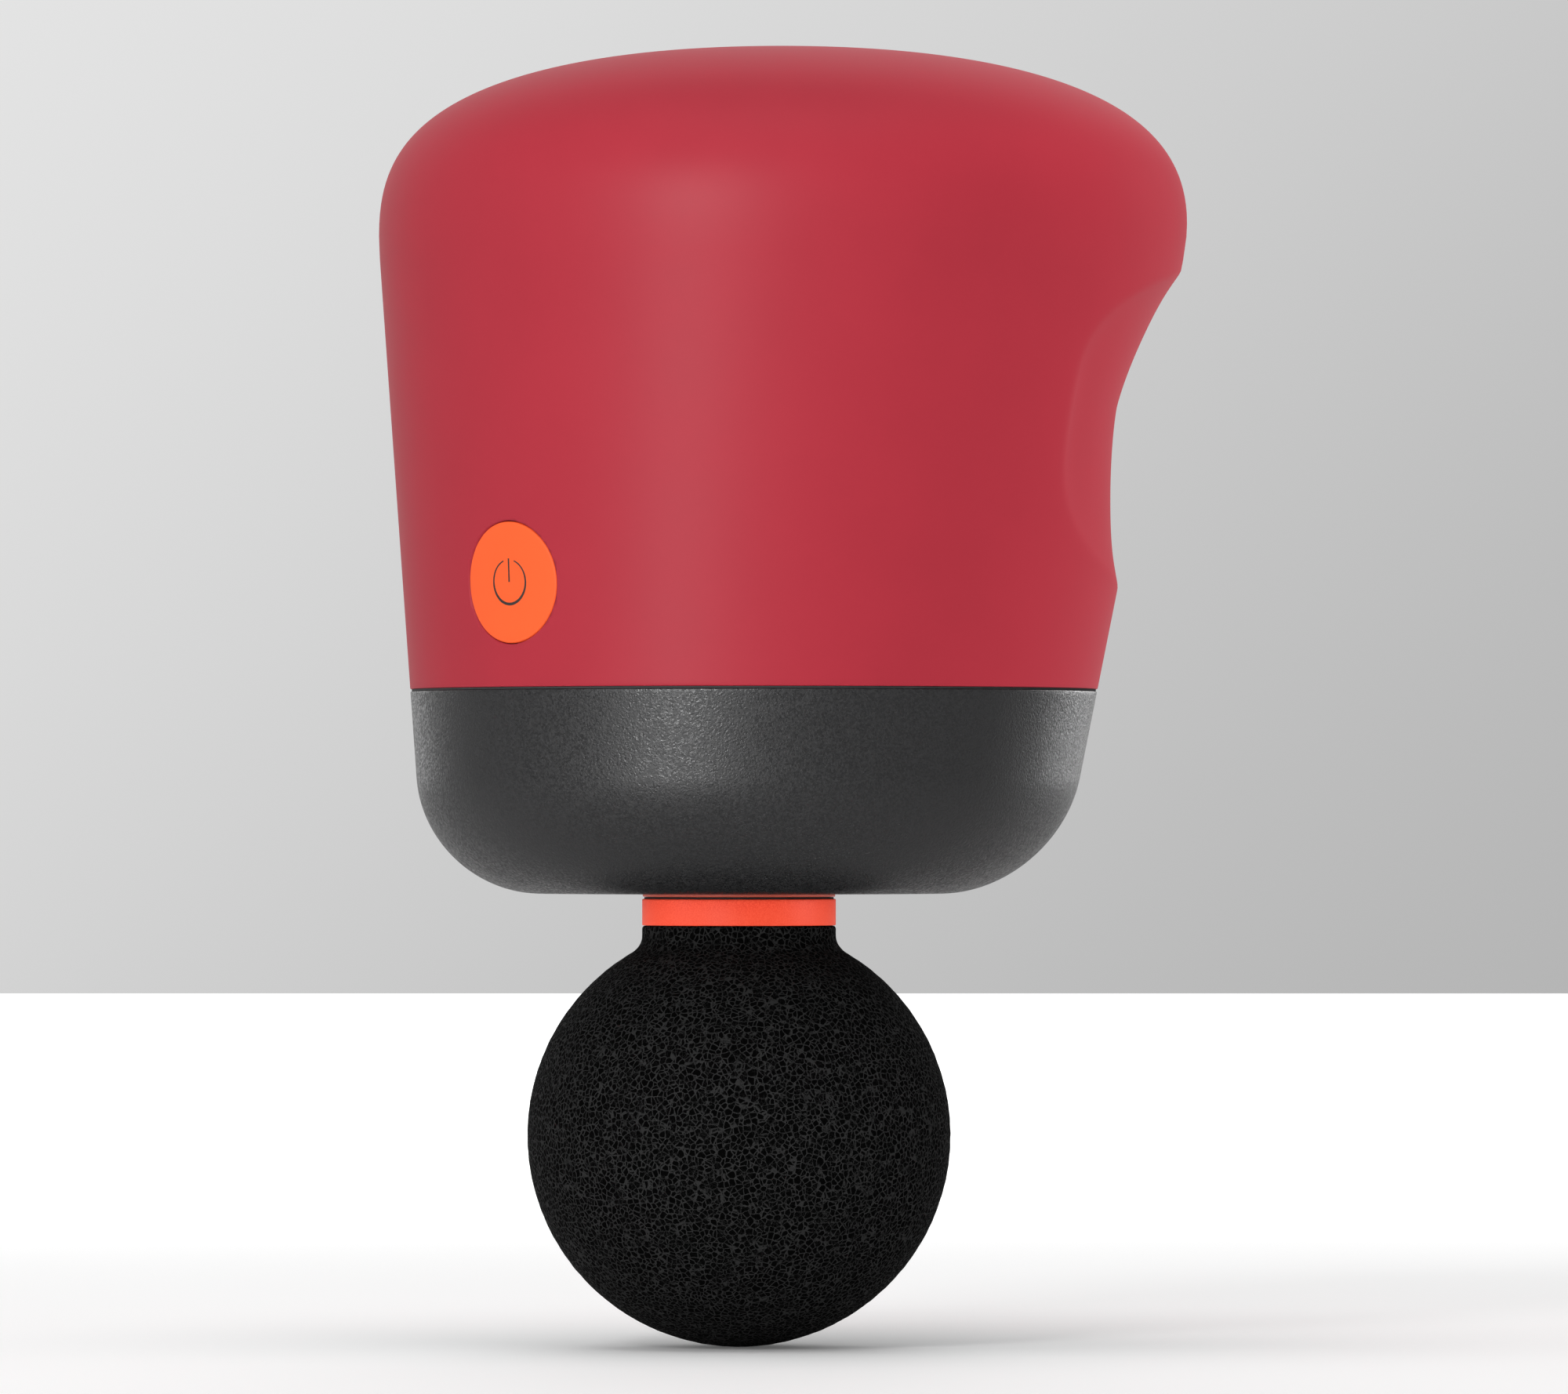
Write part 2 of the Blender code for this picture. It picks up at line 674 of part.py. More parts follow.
def make_motor():
    centre = (0, 0, CRANK_AXIS)
    plate = MOTOR_WALL_BACK + REST_GAP
    boss_inner = 3.3 * MM
    boss_outer = 4.6 * MM
    boss_end = plate + MOTOR_LENGTH - 3.0 * MM
    profile = [
        (boss_inner, plate + 0.2 * MM),
        (boss_inner, boss_end),
        (boss_outer, boss_end),
        (boss_outer, plate + 1.2 * MM),
        (MOTOR_RADIUS - 2.5 * MM, plate + 1.2 * MM),
        (MOTOR_RADIUS - 2.5 * MM, plate),
        (boss_inner + 0.2 * MM, plate),
    ]
    turned("motor_mount", profile, ((0.6, 0.6, 0.62), 0.4, 1.0), "Y", centre)
    for name, start in (("motor_bearing_front", plate + 0.4 * MM), ("motor_bearing_rear", boss_end - 2.2 * MM)):
        tube(
            name,
            SHAFT_RADIUS + TURN_GAP,
            boss_inner - SEAL_GAP,
            start,
            start + 2.0 * MM,
            ((0.5, 0.5, 0.52), 0.3, 1.0),
            "Y",
            centre,
            SMALL_SIDES,
            0.15 * MM,
        )
    magnet_outer = MOTOR_RADIUS - BELL_WALL - SEAL_GAP
    magnet_inner = magnet_outer - MAGNET_THICKNESS
    core_front = plate + 2.6 * MM
    core_back = core_front + 7.0 * MM
    make_core(core_front, core_back, boss_outer + SEAL_GAP, magnet_inner - 0.4 * MM)
    make_winding("winding_front", plate + 1.5 * MM, core_front - SEAL_GAP, boss_outer + 0.5 * MM, magnet_inner - MM)
    make_winding("winding_rear", core_back + SEAL_GAP, core_back + 1.6 * MM, boss_outer + 0.5 * MM, magnet_inner - MM)
    bell_end = plate + MOTOR_LENGTH
    bell_inner = MOTOR_RADIUS - BELL_WALL
    profile = [
        (bell_inner, plate + 1.6 * MM),
        (bell_inner, bell_end - 1.2 * MM),
        (SHAFT_RADIUS + 1.6 * MM, bell_end - 1.2 * MM),
        (SHAFT_RADIUS + 1.6 * MM, bell_end - 2.2 * MM),
        (SHAFT_RADIUS + RUN_GAP, bell_end - 2.2 * MM),
        (SHAFT_RADIUS + RUN_GAP, bell_end),
        (MOTOR_RADIUS - 0.6 * MM, bell_end),
        (MOTOR_RADIUS, bell_end - 0.6 * MM),
        (MOTOR_RADIUS, plate + 1.6 * MM),
    ]
    turned("rotor_bell", profile, ((0.25, 0.25, 0.27), 0.35, 1.0), "Y", centre)
    tube(
        "magnet_ring",
        magnet_inner,
        magnet_outer,
        plate + 1.9 * MM,
        bell_end - 2.6 * MM,
        ((0.12, 0.12, 0.13), 0.3, 1.0),
        "Y",
        centre,
    )
    rod(
        "motor_shaft",
        SHAFT_RADIUS,
        WHEEL_FRONT + 0.8 * MM,
        bell_end + 0.2 * MM,
        ((0.7, 0.7, 0.72), 0.2, 1.0),
        "Y",
        centre,
        SMALL_SIDES,
        0.2 * MM,
    )


def make_core(front, back, inner, outer):
    """A ring of laminations with tapered teeth."""
    root = inner + 1.6 * MM
    loops = [[], [], [], []]
    for tooth in range(TEETH):
        middle = 2 * math.pi * tooth / TEETH
        pitch = 2 * math.pi / TEETH
        outline = [(-0.5, root), (-0.3, root), (-0.25, outer), (0, outer), (0.25, outer), (0.3, root)]
        for share, radius in outline:
            turn = middle + share * pitch
            for loop, across, along in zip(loops, (radius, radius, inner, inner), (front, back, back, front)):
                loop.append(placed("Y", (0, 0, CRANK_AXIS), across, along, turn))
    skin("stator_core", loops, ((0.32, 0.32, 0.34), 0.45, 1.0), ring=True)


def make_winding(name, front, back, inner, outer):
    """The end turns of the coils: a ring that swells over each tooth."""
    steps = TEETH * 4
    loops = []
    for across, along in ((0, 0), (0, 1), (1, 1), (1, 0)):
        loop = []
        for step in range(steps):
            turn = 2 * math.pi * step / steps
            swell = 0.5 + 0.5 * math.cos(TEETH * turn)
            top = outer - 0.9 * MM * (1 - swell)
            loop.append(placed("Y", (0, 0, CRANK_AXIS), inner + across * (top - inner), front + along * (back - front), turn))
        loops.append(loop)
    skin(name, loops, ((0.6, 0.22, 0.08), 0.3, 1.0), ring=True)


def make_crank():
    centre = (0, 0, CRANK_AXIS)
    bore = SHAFT_RADIUS + RUN_GAP
    wheel = rod(
        "crank_wheel",
        WHEEL_RADIUS,
        WHEEL_FRONT,
        WHEEL_BACK,
        ((0.62, 0.62, 0.64), 0.35, 1.0),
        "Y",
        centre,
        ROUND_SIDES,
        0.4 * MM,
    )
    pin_front = YOKE_FRONT - 0.2 * MM
    pin = rod(
        "crank_pin",
        PIN_RADIUS,
        pin_front,
        WHEEL_FRONT + MM,
        None,
        "Y",
        (0, 0, YOKE_CENTRE),
        SMALL_SIDES,
        0.2 * MM,
    )
    add(wheel, pin)
    cut(wheel, rod("wheel_bore", bore, WHEEL_FRONT + 0.5 * MM, WHEEL_BACK + MM, None, "Y", centre, SMALL_SIDES))
    tube(
        "crank_roller",
        PIN_RADIUS + RUN_GAP,
        ROLLER_RADIUS,
        YOKE_FRONT + 0.1 * MM,
        YOKE_BACK + 0.3 * MM,
        ((0.72, 0.72, 0.74), 0.2, 1.0),
        "Y",
        (0, 0, YOKE_CENTRE),
        SMALL_SIDES,
        0.25 * MM,
    )


def make_plunger():
    hole = SHANK_RADIUS + REST_GAP
    socket_top = PLUNGER_BOTTOM + SOCKET_DEPTH
    hole_bottom = socket_top + 2 * MM
    shape = [
        (0, socket_top),
        (SOCKET_RADIUS, socket_top),
        (SOCKET_RADIUS, PLUNGER_BOTTOM + 0.5 * MM),
        (SOCKET_RADIUS + 0.5 * MM, PLUNGER_BOTTOM),
        (PLUNGER_RADIUS - 0.3 * MM, PLUNGER_BOTTOM),
        (PLUNGER_RADIUS, PLUNGER_BOTTOM + 0.3 * MM),
        (PLUNGER_RADIUS, PLUNGER_TOP - 0.5 * MM),
        (PLUNGER_RADIUS - 0.5 * MM, PLUNGER_TOP),
        (hole, PLUNGER_TOP),
        (hole, hole_bottom),
        (0, hole_bottom),
    ]
    turned("plunger_sleeve", shape, ((0.66, 0.66, 0.68), 0.25, 1.0))
    half_width = SLOT_HALF + 3.0 * MM
    half_height = SLOT_HEIGHT + 2.6 * MM
    yoke = block(
        "yoke",
        (-half_width, YOKE_FRONT, YOKE_CENTRE - half_height),
        (half_width, YOKE_BACK, YOKE_CENTRE + half_height),
        ((0.8, 0.79, 0.75), 0.5),
        0.8 * MM,
        2,
    )
    shank = rod(
        "yoke_shank",
        SHANK_RADIUS - 0.6 * MM,
        hole_bottom + REST_GAP,
        YOKE_CENTRE - half_height + MM,
        None,
        sides=SMALL_SIDES,
    )
    add(yoke, shank)
    slot = block(
        "yoke_slot",
        (-SLOT_HALF, YOKE_FRONT - MM, YOKE_CENTRE - SLOT_HEIGHT),
        (SLOT_HALF, YOKE_BACK + MM, YOKE_CENTRE + SLOT_HEIGHT),
        None,
    )
    cut(yoke, slot)


# ---------------------------------------------------------------- massage head


def make_head():
    plug = SOCKET_RADIUS - 0.25 * MM
    groove = plug - 0.85 * MM
    top = PLUNGER_BOTTOM + SOCKET_DEPTH - 0.4 * MM
    rings = [top - 4 * MM, top - 9 * MM]
    half = ORING_SECTION + SEAL_GAP
    plate_top = COLLAR_TOP - 0.8 * MM - REST_GAP
    stem_bottom = BALL_CENTRE - 4 * MM
    profile = [(0, top), (plug - 0.5 * MM, top), (plug, top - 0.5 * MM)]
    for level in rings:
        profile += [(plug, level + half), (groove, level + half), (groove, level - half), (plug, level - half)]
    profile += [
        (plug, plate_top),
        (COLLAR_RADIUS - 1.6 * MM, plate_top),
        (COLLAR_RADIUS - 1.6 * MM, COLLAR_BOTTOM + 0.2 * MM),
        (CORE_RADIUS, COLLAR_BOTTOM + 0.2 * MM),
        (CORE_RADIUS, stem_bottom + 4 * MM),
        (CORE_RADIUS - 1.2 * MM, stem_bottom + 1.2 * MM),
        (CORE_RADIUS - 4 * MM, stem_bottom),
        (0, stem_bottom),
    ]
    turned("head_core", profile, ((0.85, 0.16, 0.05), 0.4))
    for number, level in enumerate(rings):
        section = [2 * math.pi * k / 8 for k in range(8)]
        middle = groove + SEAL_GAP + ORING_SECTION
        ring = [(middle + ORING_SECTION * math.cos(t), level + ORING_SECTION * math.sin(t)) for t in section]
        turned("plug_oring_%d" % (number + 1), ring, ((0.02, 0.02, 0.02), 0.6), sides=SMALL_SIDES)
    collar = [
        (plug + REST_GAP, COLLAR_TOP),
        (COLLAR_RADIUS - 0.3 * MM, COLLAR_TOP),
        (COLLAR_RADIUS, COLLAR_TOP - 0.3 * MM),
        (COLLAR_RADIUS, COLLAR_BOTTOM),
        (COLLAR_RADIUS - 1.3 * MM, COLLAR_BOTTOM),
        (COLLAR_RADIUS - 1.3 * MM, COLLAR_TOP - 0.8 * MM),
        (plug + REST_GAP, COLLAR_TOP - 0.8 * MM),
    ]
    turned("head_collar", collar, ((0.85, 0.12, 0.04), 0.4))
    make_foam()


def make_foam():
    """The ball with a short neck that flares into it, and a pocket for the core's stem."""
    pocket = CORE_RADIUS + REST_GAP
    stem_bottom = BALL_CENTRE - 4 * MM
    # The neck's side meets the ball through a hollow fillet that touches both.
    across = COLLAR_RADIUS + NECK_FILLET
    reach = BALL_RADIUS + NECK_FILLET
    fillet_height = BALL_CENTRE + math.sqrt(reach**2 - across**2)
    profile = [(COLLAR_RADIUS, NECK_TOP)]
    if fillet_height < NECK_TOP - 0.1 * MM:
        profile.append((COLLAR_RADIUS, fillet_height))
    touch = math.atan2(across, fillet_height - BALL_CENTRE)
    steps = 4
    for step in range(1, steps + 1):
        turn = (math.pi / 2 - touch) * step / steps
        profile.append((across - NECK_FILLET * math.cos(turn), fillet_height - NECK_FILLET * math.sin(turn)))
    steps = 13
    for step in range(1, steps):
        turn = touch + (math.pi - touch) * step / steps
        profile.append((BALL_RADIUS * math.sin(turn), BALL_CENTRE + BALL_RADIUS * math.cos(turn)))
    outer = [(0, BALL_CENTRE - BALL_RADIUS), *reversed(profile)]
    inner = [
        (pocket, NECK_TOP),
        (pocket, stem_bottom + 4 * MM),
        (pocket - 1.2 * MM, stem_bottom + 1.0 * MM),
        (pocket - 4 * MM, stem_bottom - REST_GAP),
        (0, stem_bottom - REST_GAP),
    ]
    turned("foam_ball", outer + inner, ((0.012, 0.012, 0.012), 0.95), sides=32)


# ---------------------------------------------------------------- power button


def make_button():
    centre = Vector((0, 0, BUTTON_HEIGHT))
    front = front_surface(0, BUTTON_HEIGHT)
    back = front + BUTTON_THICKNESS
    edge = 0.25 * MM
    loops = [[Vector((0, front, BUTTON_HEIGHT))]]
    for share, sink in ((0.35, 0), (0.7, 0), (1 - edge / BUTTON_RADIUS, 0), (1, edge)):
        loop = []
        for i in range(ROUND_SIDES):
            turn = 2 * math.pi * i / ROUND_SIDES
            x = share * BUTTON_RADIUS * math.sin(turn)
            z = BUTTON_HEIGHT + share * BUTTON_RADIUS * math.cos(turn)
            loop.append(Vector((x, front_surface(x, z) + sink, z)))
        loops.append(loop)
    flange = BUTTON_RADIUS + 1.0 * MM
    inside = front_surface(flange, BUTTON_HEIGHT + flange) + WALL
    inside = max(inside, front_surface(flange, BUTTON_HEIGHT) + WALL, back) + 0.5 * MM
    steps = [(BUTTON_RADIUS, inside), (flange, inside), (flange, inside + 0.7 * MM), (1.4 * MM, inside + 0.7 * MM)]
    steps += [(1.4 * MM, inside + 1.0 * MM)]
    for radius, depth in steps:
        turns = [2 * math.pi * i / ROUND_SIDES for i in range(ROUND_SIDES)]
        loops.append([placed("Y", centre, radius, depth, turn) for turn in turns])
    loops.append([Vector((0, inside + 1.0 * MM, BUTTON_HEIGHT))])
    skin("power_button", loops, ((1.0, 0.16, 0.04), 0.42))
    return inside + 1.0 * MM


# ---------------------------------------------------------------- boards, switch and port


def make_main_board(button_back):
    stem_front = button_back + BUTTON_TRAVEL + 0.2 * MM
    switch_front = stem_front + 0.5 * MM
    board_front = switch_front + 1.3 * MM
    board_back = board_front + BOARD_THICKNESS
    half = 12.5 * MM
    top = CRANK_AXIS + MOTOR_RADIUS - 2 * MM
    block(
        "main_board",
        (-half, board_front, TONGUE_HEIGHT + 0.8 * MM),
        (half, board_back, top),
        ((0.02, 0.1, 0.05), 0.5),
    )
    block(
        "switch_body",
        (-3.1 * MM, switch_front, BUTTON_HEIGHT - 3.1 * MM),
        (3.1 * MM, board_front - SEAL_GAP, BUTTON_HEIGHT + 3.1 * MM),
        ((0.05, 0.05, 0.055), 0.5),
        0.2 * MM,
    )
    rod(
        "switch_stem",
        1.3 * MM,
        stem_front,
        switch_front - SEAL_GAP,
        ((0.5, 0.04, 0.03), 0.5),
        "Y",
        (0, 0, BUTTON_HEIGHT),
        SMALL_SIDES,
    )
    tube(
        "button_cushion",
        4.6 * MM,
        6.4 * MM,
        switch_front - 0.2 * MM,
        board_front - SEAL_GAP,
        ((0.7, 0.7, 0.7), 0.6),
        "Y",
        (0, 0, BUTTON_HEIGHT),
        SMALL_SIDES,
    )
    near = board_back + SEAL_GAP
    chips = {
        "control_chip": ((-5.5, 12), (5, 5), 1.0, (0.02, 0.02, 0.022)),
        "driver_chip": ((5.5, 12), (4, 4), 1.0, (0.02, 0.02, 0.022)),
        "inductor": ((-6, 21), (5, 5), 3.0, (0.06, 0.06, 0.065)),
        "battery_connector": ((6, 24.5), (6, 4), 3.6, (0.75, 0.72, 0.62)),
        "motor_connector": ((7, 6.5), (8, 4), 3.6, (0.75, 0.72, 0.62)),
    }
    for name, ((x, z), (wide, tall), deep, colour) in chips.items():
        block(
            name,
            ((x - wide / 2) * MM, near, (z - tall / 2) * MM),
            ((x + wide / 2) * MM, near + deep * MM, (z + tall / 2) * MM),
            (colour, 0.45),
            0.25 * MM,
        )
    return near + 3.6 * MM


def make_port():
    back = body_centre(PORT_LEVEL) + body_radius(PORT_LEVEL)
    shell_end = back - 0.5 * MM
    shell_start = shell_end - 7.3 * MM
    loops = []
    for shrink, y in ((0, shell_start), (0, shell_end), (0.32 * MM, shell_end), (0.32 * MM, shell_start + 0.8 * MM)):
        loops.append(stadium_loop(PORT_WIDTH / 2 - shrink, PORT_HEIGHT / 2 - shrink, y))
    loops = [[Vector((0, shell_start, PORT_LEVEL))], *loops, [Vector((0, shell_start + 0.8 * MM, PORT_LEVEL))]]
    skin("charge_port_shell", loops, ((0.6, 0.6, 0.62), 0.3, 1.0))
    block(
        "charge_port_tongue",
        (-3.3 * MM, shell_start + 1.1 * MM, PORT_LEVEL - 0.35 * MM),
        (3.3 * MM, shell_end - 1.6 * MM, PORT_LEVEL + 0.35 * MM),
        ((0.02, 0.02, 0.022), 0.5),
        0.15 * MM,
    )
    top = PORT_LEVEL - PORT_HEIGHT / 2 - SEAL_GAP
    block(
        "charge_board",
        (-8.4 * MM, 19 * MM, top - 1.0 * MM),
        (8.4 * MM, shell_end - 4.6 * MM, top),
        ((0.02, 0.1, 0.05), 0.5),
    )
    return top


def stadium_loop(half_width, half_height, y):
    """A flat-sided oval in a plane facing along Y."""
    loop = []
    arc = 6
    for side in (1, -1):
        for step in range(arc + 1):
            turn = math.pi / 2 - math.pi * step / arc
            x = side * (half_width - half_height + half_height * math.cos(turn))
            loop.append(Vector((x, y, PORT_LEVEL + side * half_height * math.sin(turn))))
    return loop


# ---------------------------------------------------------------- cells and wires


def make_cells():
    bottom = CELL_AXIS - CELL_RADIUS
    for name, side in (("cell_front", -1), ("cell_rear", 1)):
        y = CELL_BACK_SHIFT + side * CELL_SPREAD
        half = CELL_LENGTH / 2
        profile = [(0, -half), (CELL_RADIUS - 0.5 * MM, -half), (CELL_RADIUS, -half + 0.5 * MM)]
        profile += [(CELL_RADIUS, half - 0.5 * MM), (CELL_RADIUS - 0.5 * MM, half), (3.2 * MM, half)]
        profile += [(3.0 * MM, half + 0.4 * MM), (0, half + 0.4 * MM)]
        turned(name, profile, ((0.05, 0.2, 0.45), 0.4), "X", (0, y, CELL_AXIS))
    low = bottom - 2.3 * MM
    front = CELL_BACK_SHIFT - CELL_SPREAD - CELL_RADIUS + 0.3 * MM
    back = CELL_BACK_SHIFT + CELL_SPREAD + CELL_RADIUS - 0.3 * MM
    cradle = block("cell_cradle", (-19 * MM, front, low), (19 * MM, back, CELL_AXIS - 5 * MM), ((0.12, 0.12, 0.13), 0.6))
    for number, side in enumerate((-1, 1)):
        trough = rod(
            "cell_trough_%d" % number,
            CELL_RADIUS + REST_GAP,
            -24 * MM,
            24 * MM,
            None,
            "X",
            (0, CELL_BACK_SHIFT + side * CELL_SPREAD, CELL_AXIS),
        )
        cut(cradle, trough)
    make_strap()
    for name, x in (("cell_tab_left", -CELL_LENGTH / 2 - 0.7 * MM), ("cell_tab_right", CELL_LENGTH / 2 + 0.7 * MM)):
        block(
            name,
            (x - 0.15 * MM, CELL_BACK_SHIFT - CELL_SPREAD - 3 * MM, CELL_AXIS - 3 * MM),
            (x + 0.15 * MM, CELL_BACK_SHIFT + CELL_SPREAD + 3 * MM, CELL_AXIS + 3 * MM),
            ((0.7, 0.69, 0.66), 0.3, 1.0),
        )


def make_strap():
    """A thin band over both cells, its ends hanging down beside the cradle."""
    inner = CELL_RADIUS + 0.4 * MM
    thickness = 0.6 * MM
    half = 4 * MM
    foot = CELL_AXIS - 8 * MM
    loops = []
    outline = []
    for radius in (inner, inner + thickness):
        side = [(CELL_BACK_SHIFT - CELL_SPREAD - radius, foot)]
        for step in range(9):
            turn = math.pi - math.pi / 2 * step / 8
            side.append((CELL_BACK_SHIFT - CELL_SPREAD + radius * math.cos(turn), CELL_AXIS + radius * math.sin(turn)))
        for step in range(9):
            turn = math.pi / 2 - math.pi / 2 * step / 8
            side.append((CELL_BACK_SHIFT + CELL_SPREAD + radius * math.cos(turn), CELL_AXIS + radius * math.sin(turn)))
        side.append((CELL_BACK_SHIFT + CELL_SPREAD + radius, foot))
        outline.append(side)
    for x in (-half, half):
        loops.append([(x, y, z) for y, z in outline[0] + list(reversed(outline[1]))])
    shape = bmesh.new()
    rows = [[shape.verts.new(point) for point in loop] for loop in loops]
    count = len(rows[0])
    for i in range(count):
        j = (i + 1) % count
        shape.faces.new((rows[0][i], rows[1][i], rows[1][j], rows[0][j]))
    half_count = count // 2
    for row in rows:
        for i in range(half_count - 1):
            shape.faces.new((row[i], row[i + 1], row[count - 2 - i], row[count - 1 - i]))
    finish("cell_strap", shape, ((0.05, 0.05, 0.05), 0.7))


def make_wires(board_face, charge_top):
    wire_gap = 1.4 * MM
    motor_y = MOTOR_WALL_BACK + MM
    socket = board_face + 0.9 * MM
    colours = ((0.75, 0.55, 0.02), (0.03, 0.12, 0.5), (0.02, 0.35, 0.08))
    for number, colour in enumerate(colours):
        drop = number * wire_gap
        path = [
            (14 * MM, motor_y + MM, 15 * MM - drop),
            (15.6 * MM, motor_y - 2 * MM, 14.5 * MM - drop),
            (15.6 * MM, 0, 12.5 * MM - drop),
            (13 * MM, -10 * MM, 9.8 * MM - drop),
            (8 * MM, socket, 7.9 * MM - drop),
        ]
        swept("motor_wire_%d" % (number + 1), path, 0.5 * MM, (colour, 0.5))
    cell_side = CELL_LENGTH / 2 + 1.5 * MM
    leads = (("cell_wire_plus", 1, 7 * MM, (0.6, 0.02, 0.02)), ("cell_wire_minus", -1, 5 * MM, (0.02, 0.02, 0.02)))
    for name, side, end, colour in leads:
        path = [
            (side * cell_side, -3 * MM, CELL_AXIS - MM),
            (side * cell_side, -10 * MM, CELL_AXIS - 7 * MM),
            (side * 21 * MM, -14.5 * MM, CELL_AXIS - 13 * MM),
            (side * 12 * MM, -15.4 * MM, CELL_AXIS - 16 * MM),
            (end, socket, 24.5 * MM),
        ]
        swept(name, path, 0.55 * MM, (colour, 0.5))
    path = [
        (-7.5 * MM, 19.5 * MM, charge_top + 0.7 * MM),
        (-13 * MM, 17 * MM, -3 * MM),
        (-16 * MM, 8 * MM, MM),
        (-16 * MM, -8 * MM, 4 * MM),
        (-9.5 * MM, board_face - 2 * MM, 6.5 * MM),
    ]
    swept("charge_lead", path, 0.6 * MM, ((0.02, 0.02, 0.02), 0.5))


# ---------------------------------------------------------------- build


for old in list(bpy.data.objects):
    bpy.data.objects.remove(old, do_unlink=True)

make_upper_housing()
make_base_housing()
make_gasket()
make_screws()
make_nose()
make_frame()
make_motor()
make_crank()
make_plunger()
make_head()
board_face = make_main_board(make_button())
charge_top = make_port()
make_cells()
make_wires(board_face, charge_top)
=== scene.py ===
"""Looks of a palm-size percussion massager, piece by piece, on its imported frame."""

import math

import bmesh
import bpy
from mathutils import Matrix, Vector


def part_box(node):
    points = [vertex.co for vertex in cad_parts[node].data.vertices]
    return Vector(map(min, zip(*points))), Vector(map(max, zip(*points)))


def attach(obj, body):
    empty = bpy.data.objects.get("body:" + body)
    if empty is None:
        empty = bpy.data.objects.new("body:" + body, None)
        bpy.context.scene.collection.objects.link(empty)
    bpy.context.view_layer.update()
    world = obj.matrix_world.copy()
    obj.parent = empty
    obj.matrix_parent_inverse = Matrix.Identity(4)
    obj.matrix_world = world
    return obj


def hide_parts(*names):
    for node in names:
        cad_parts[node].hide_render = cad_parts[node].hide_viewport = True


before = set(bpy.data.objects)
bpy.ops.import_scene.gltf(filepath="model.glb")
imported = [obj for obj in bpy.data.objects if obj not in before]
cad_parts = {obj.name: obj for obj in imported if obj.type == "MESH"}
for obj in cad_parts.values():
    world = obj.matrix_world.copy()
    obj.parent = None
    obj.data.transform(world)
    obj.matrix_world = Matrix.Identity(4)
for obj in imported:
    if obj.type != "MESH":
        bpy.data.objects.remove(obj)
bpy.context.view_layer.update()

MM = 0.001


# ------------------------------------------------------------------ camera
# The camera stands low, at the height of the base, and looks level past the button's side of the
# housing, so that the power button faces left and the finger groove shows at the right edge.

VIEW_TURN = math.radians(43.5)
CAMERA_LENS = 306.2
CAMERA_DISTANCE = 1.26
CAMERA_SIDE = 4.25 * MM
CAMERA_HEIGHT = -12.9 * MM
AIM_HEIGHT = -0.63 * MM
VIEW_RIGHT = Vector((math.cos(VIEW_TURN), math.sin(VIEW_TURN), 0))
VIEW_AHEAD = Vector((-math.sin(VIEW_TURN), math.cos(VIEW_TURN), 0))

camera = bpy.data.objects.new("camera", bpy.data.cameras.new("camera"))
bpy.context.scene.collection.objects.link(camera)
camera.data.lens = CAMERA_LENS
camera.data.sensor_width = 36
camera.data.clip_start = 0.05
camera.data.clip_end = 30
aim = VIEW_RIGHT * CAMERA_SIDE + Vector((0, 0, AIM_HEIGHT))
camera.location = VIEW_RIGHT * CAMERA_SIDE - VIEW_AHEAD * CAMERA_DISTANCE + Vector((0, 0, CAMERA_HEIGHT))
camera.rotation_euler = (aim - camera.location).to_track_quat("-Z", "Y").to_euler()
bpy.context.scene.camera = camera
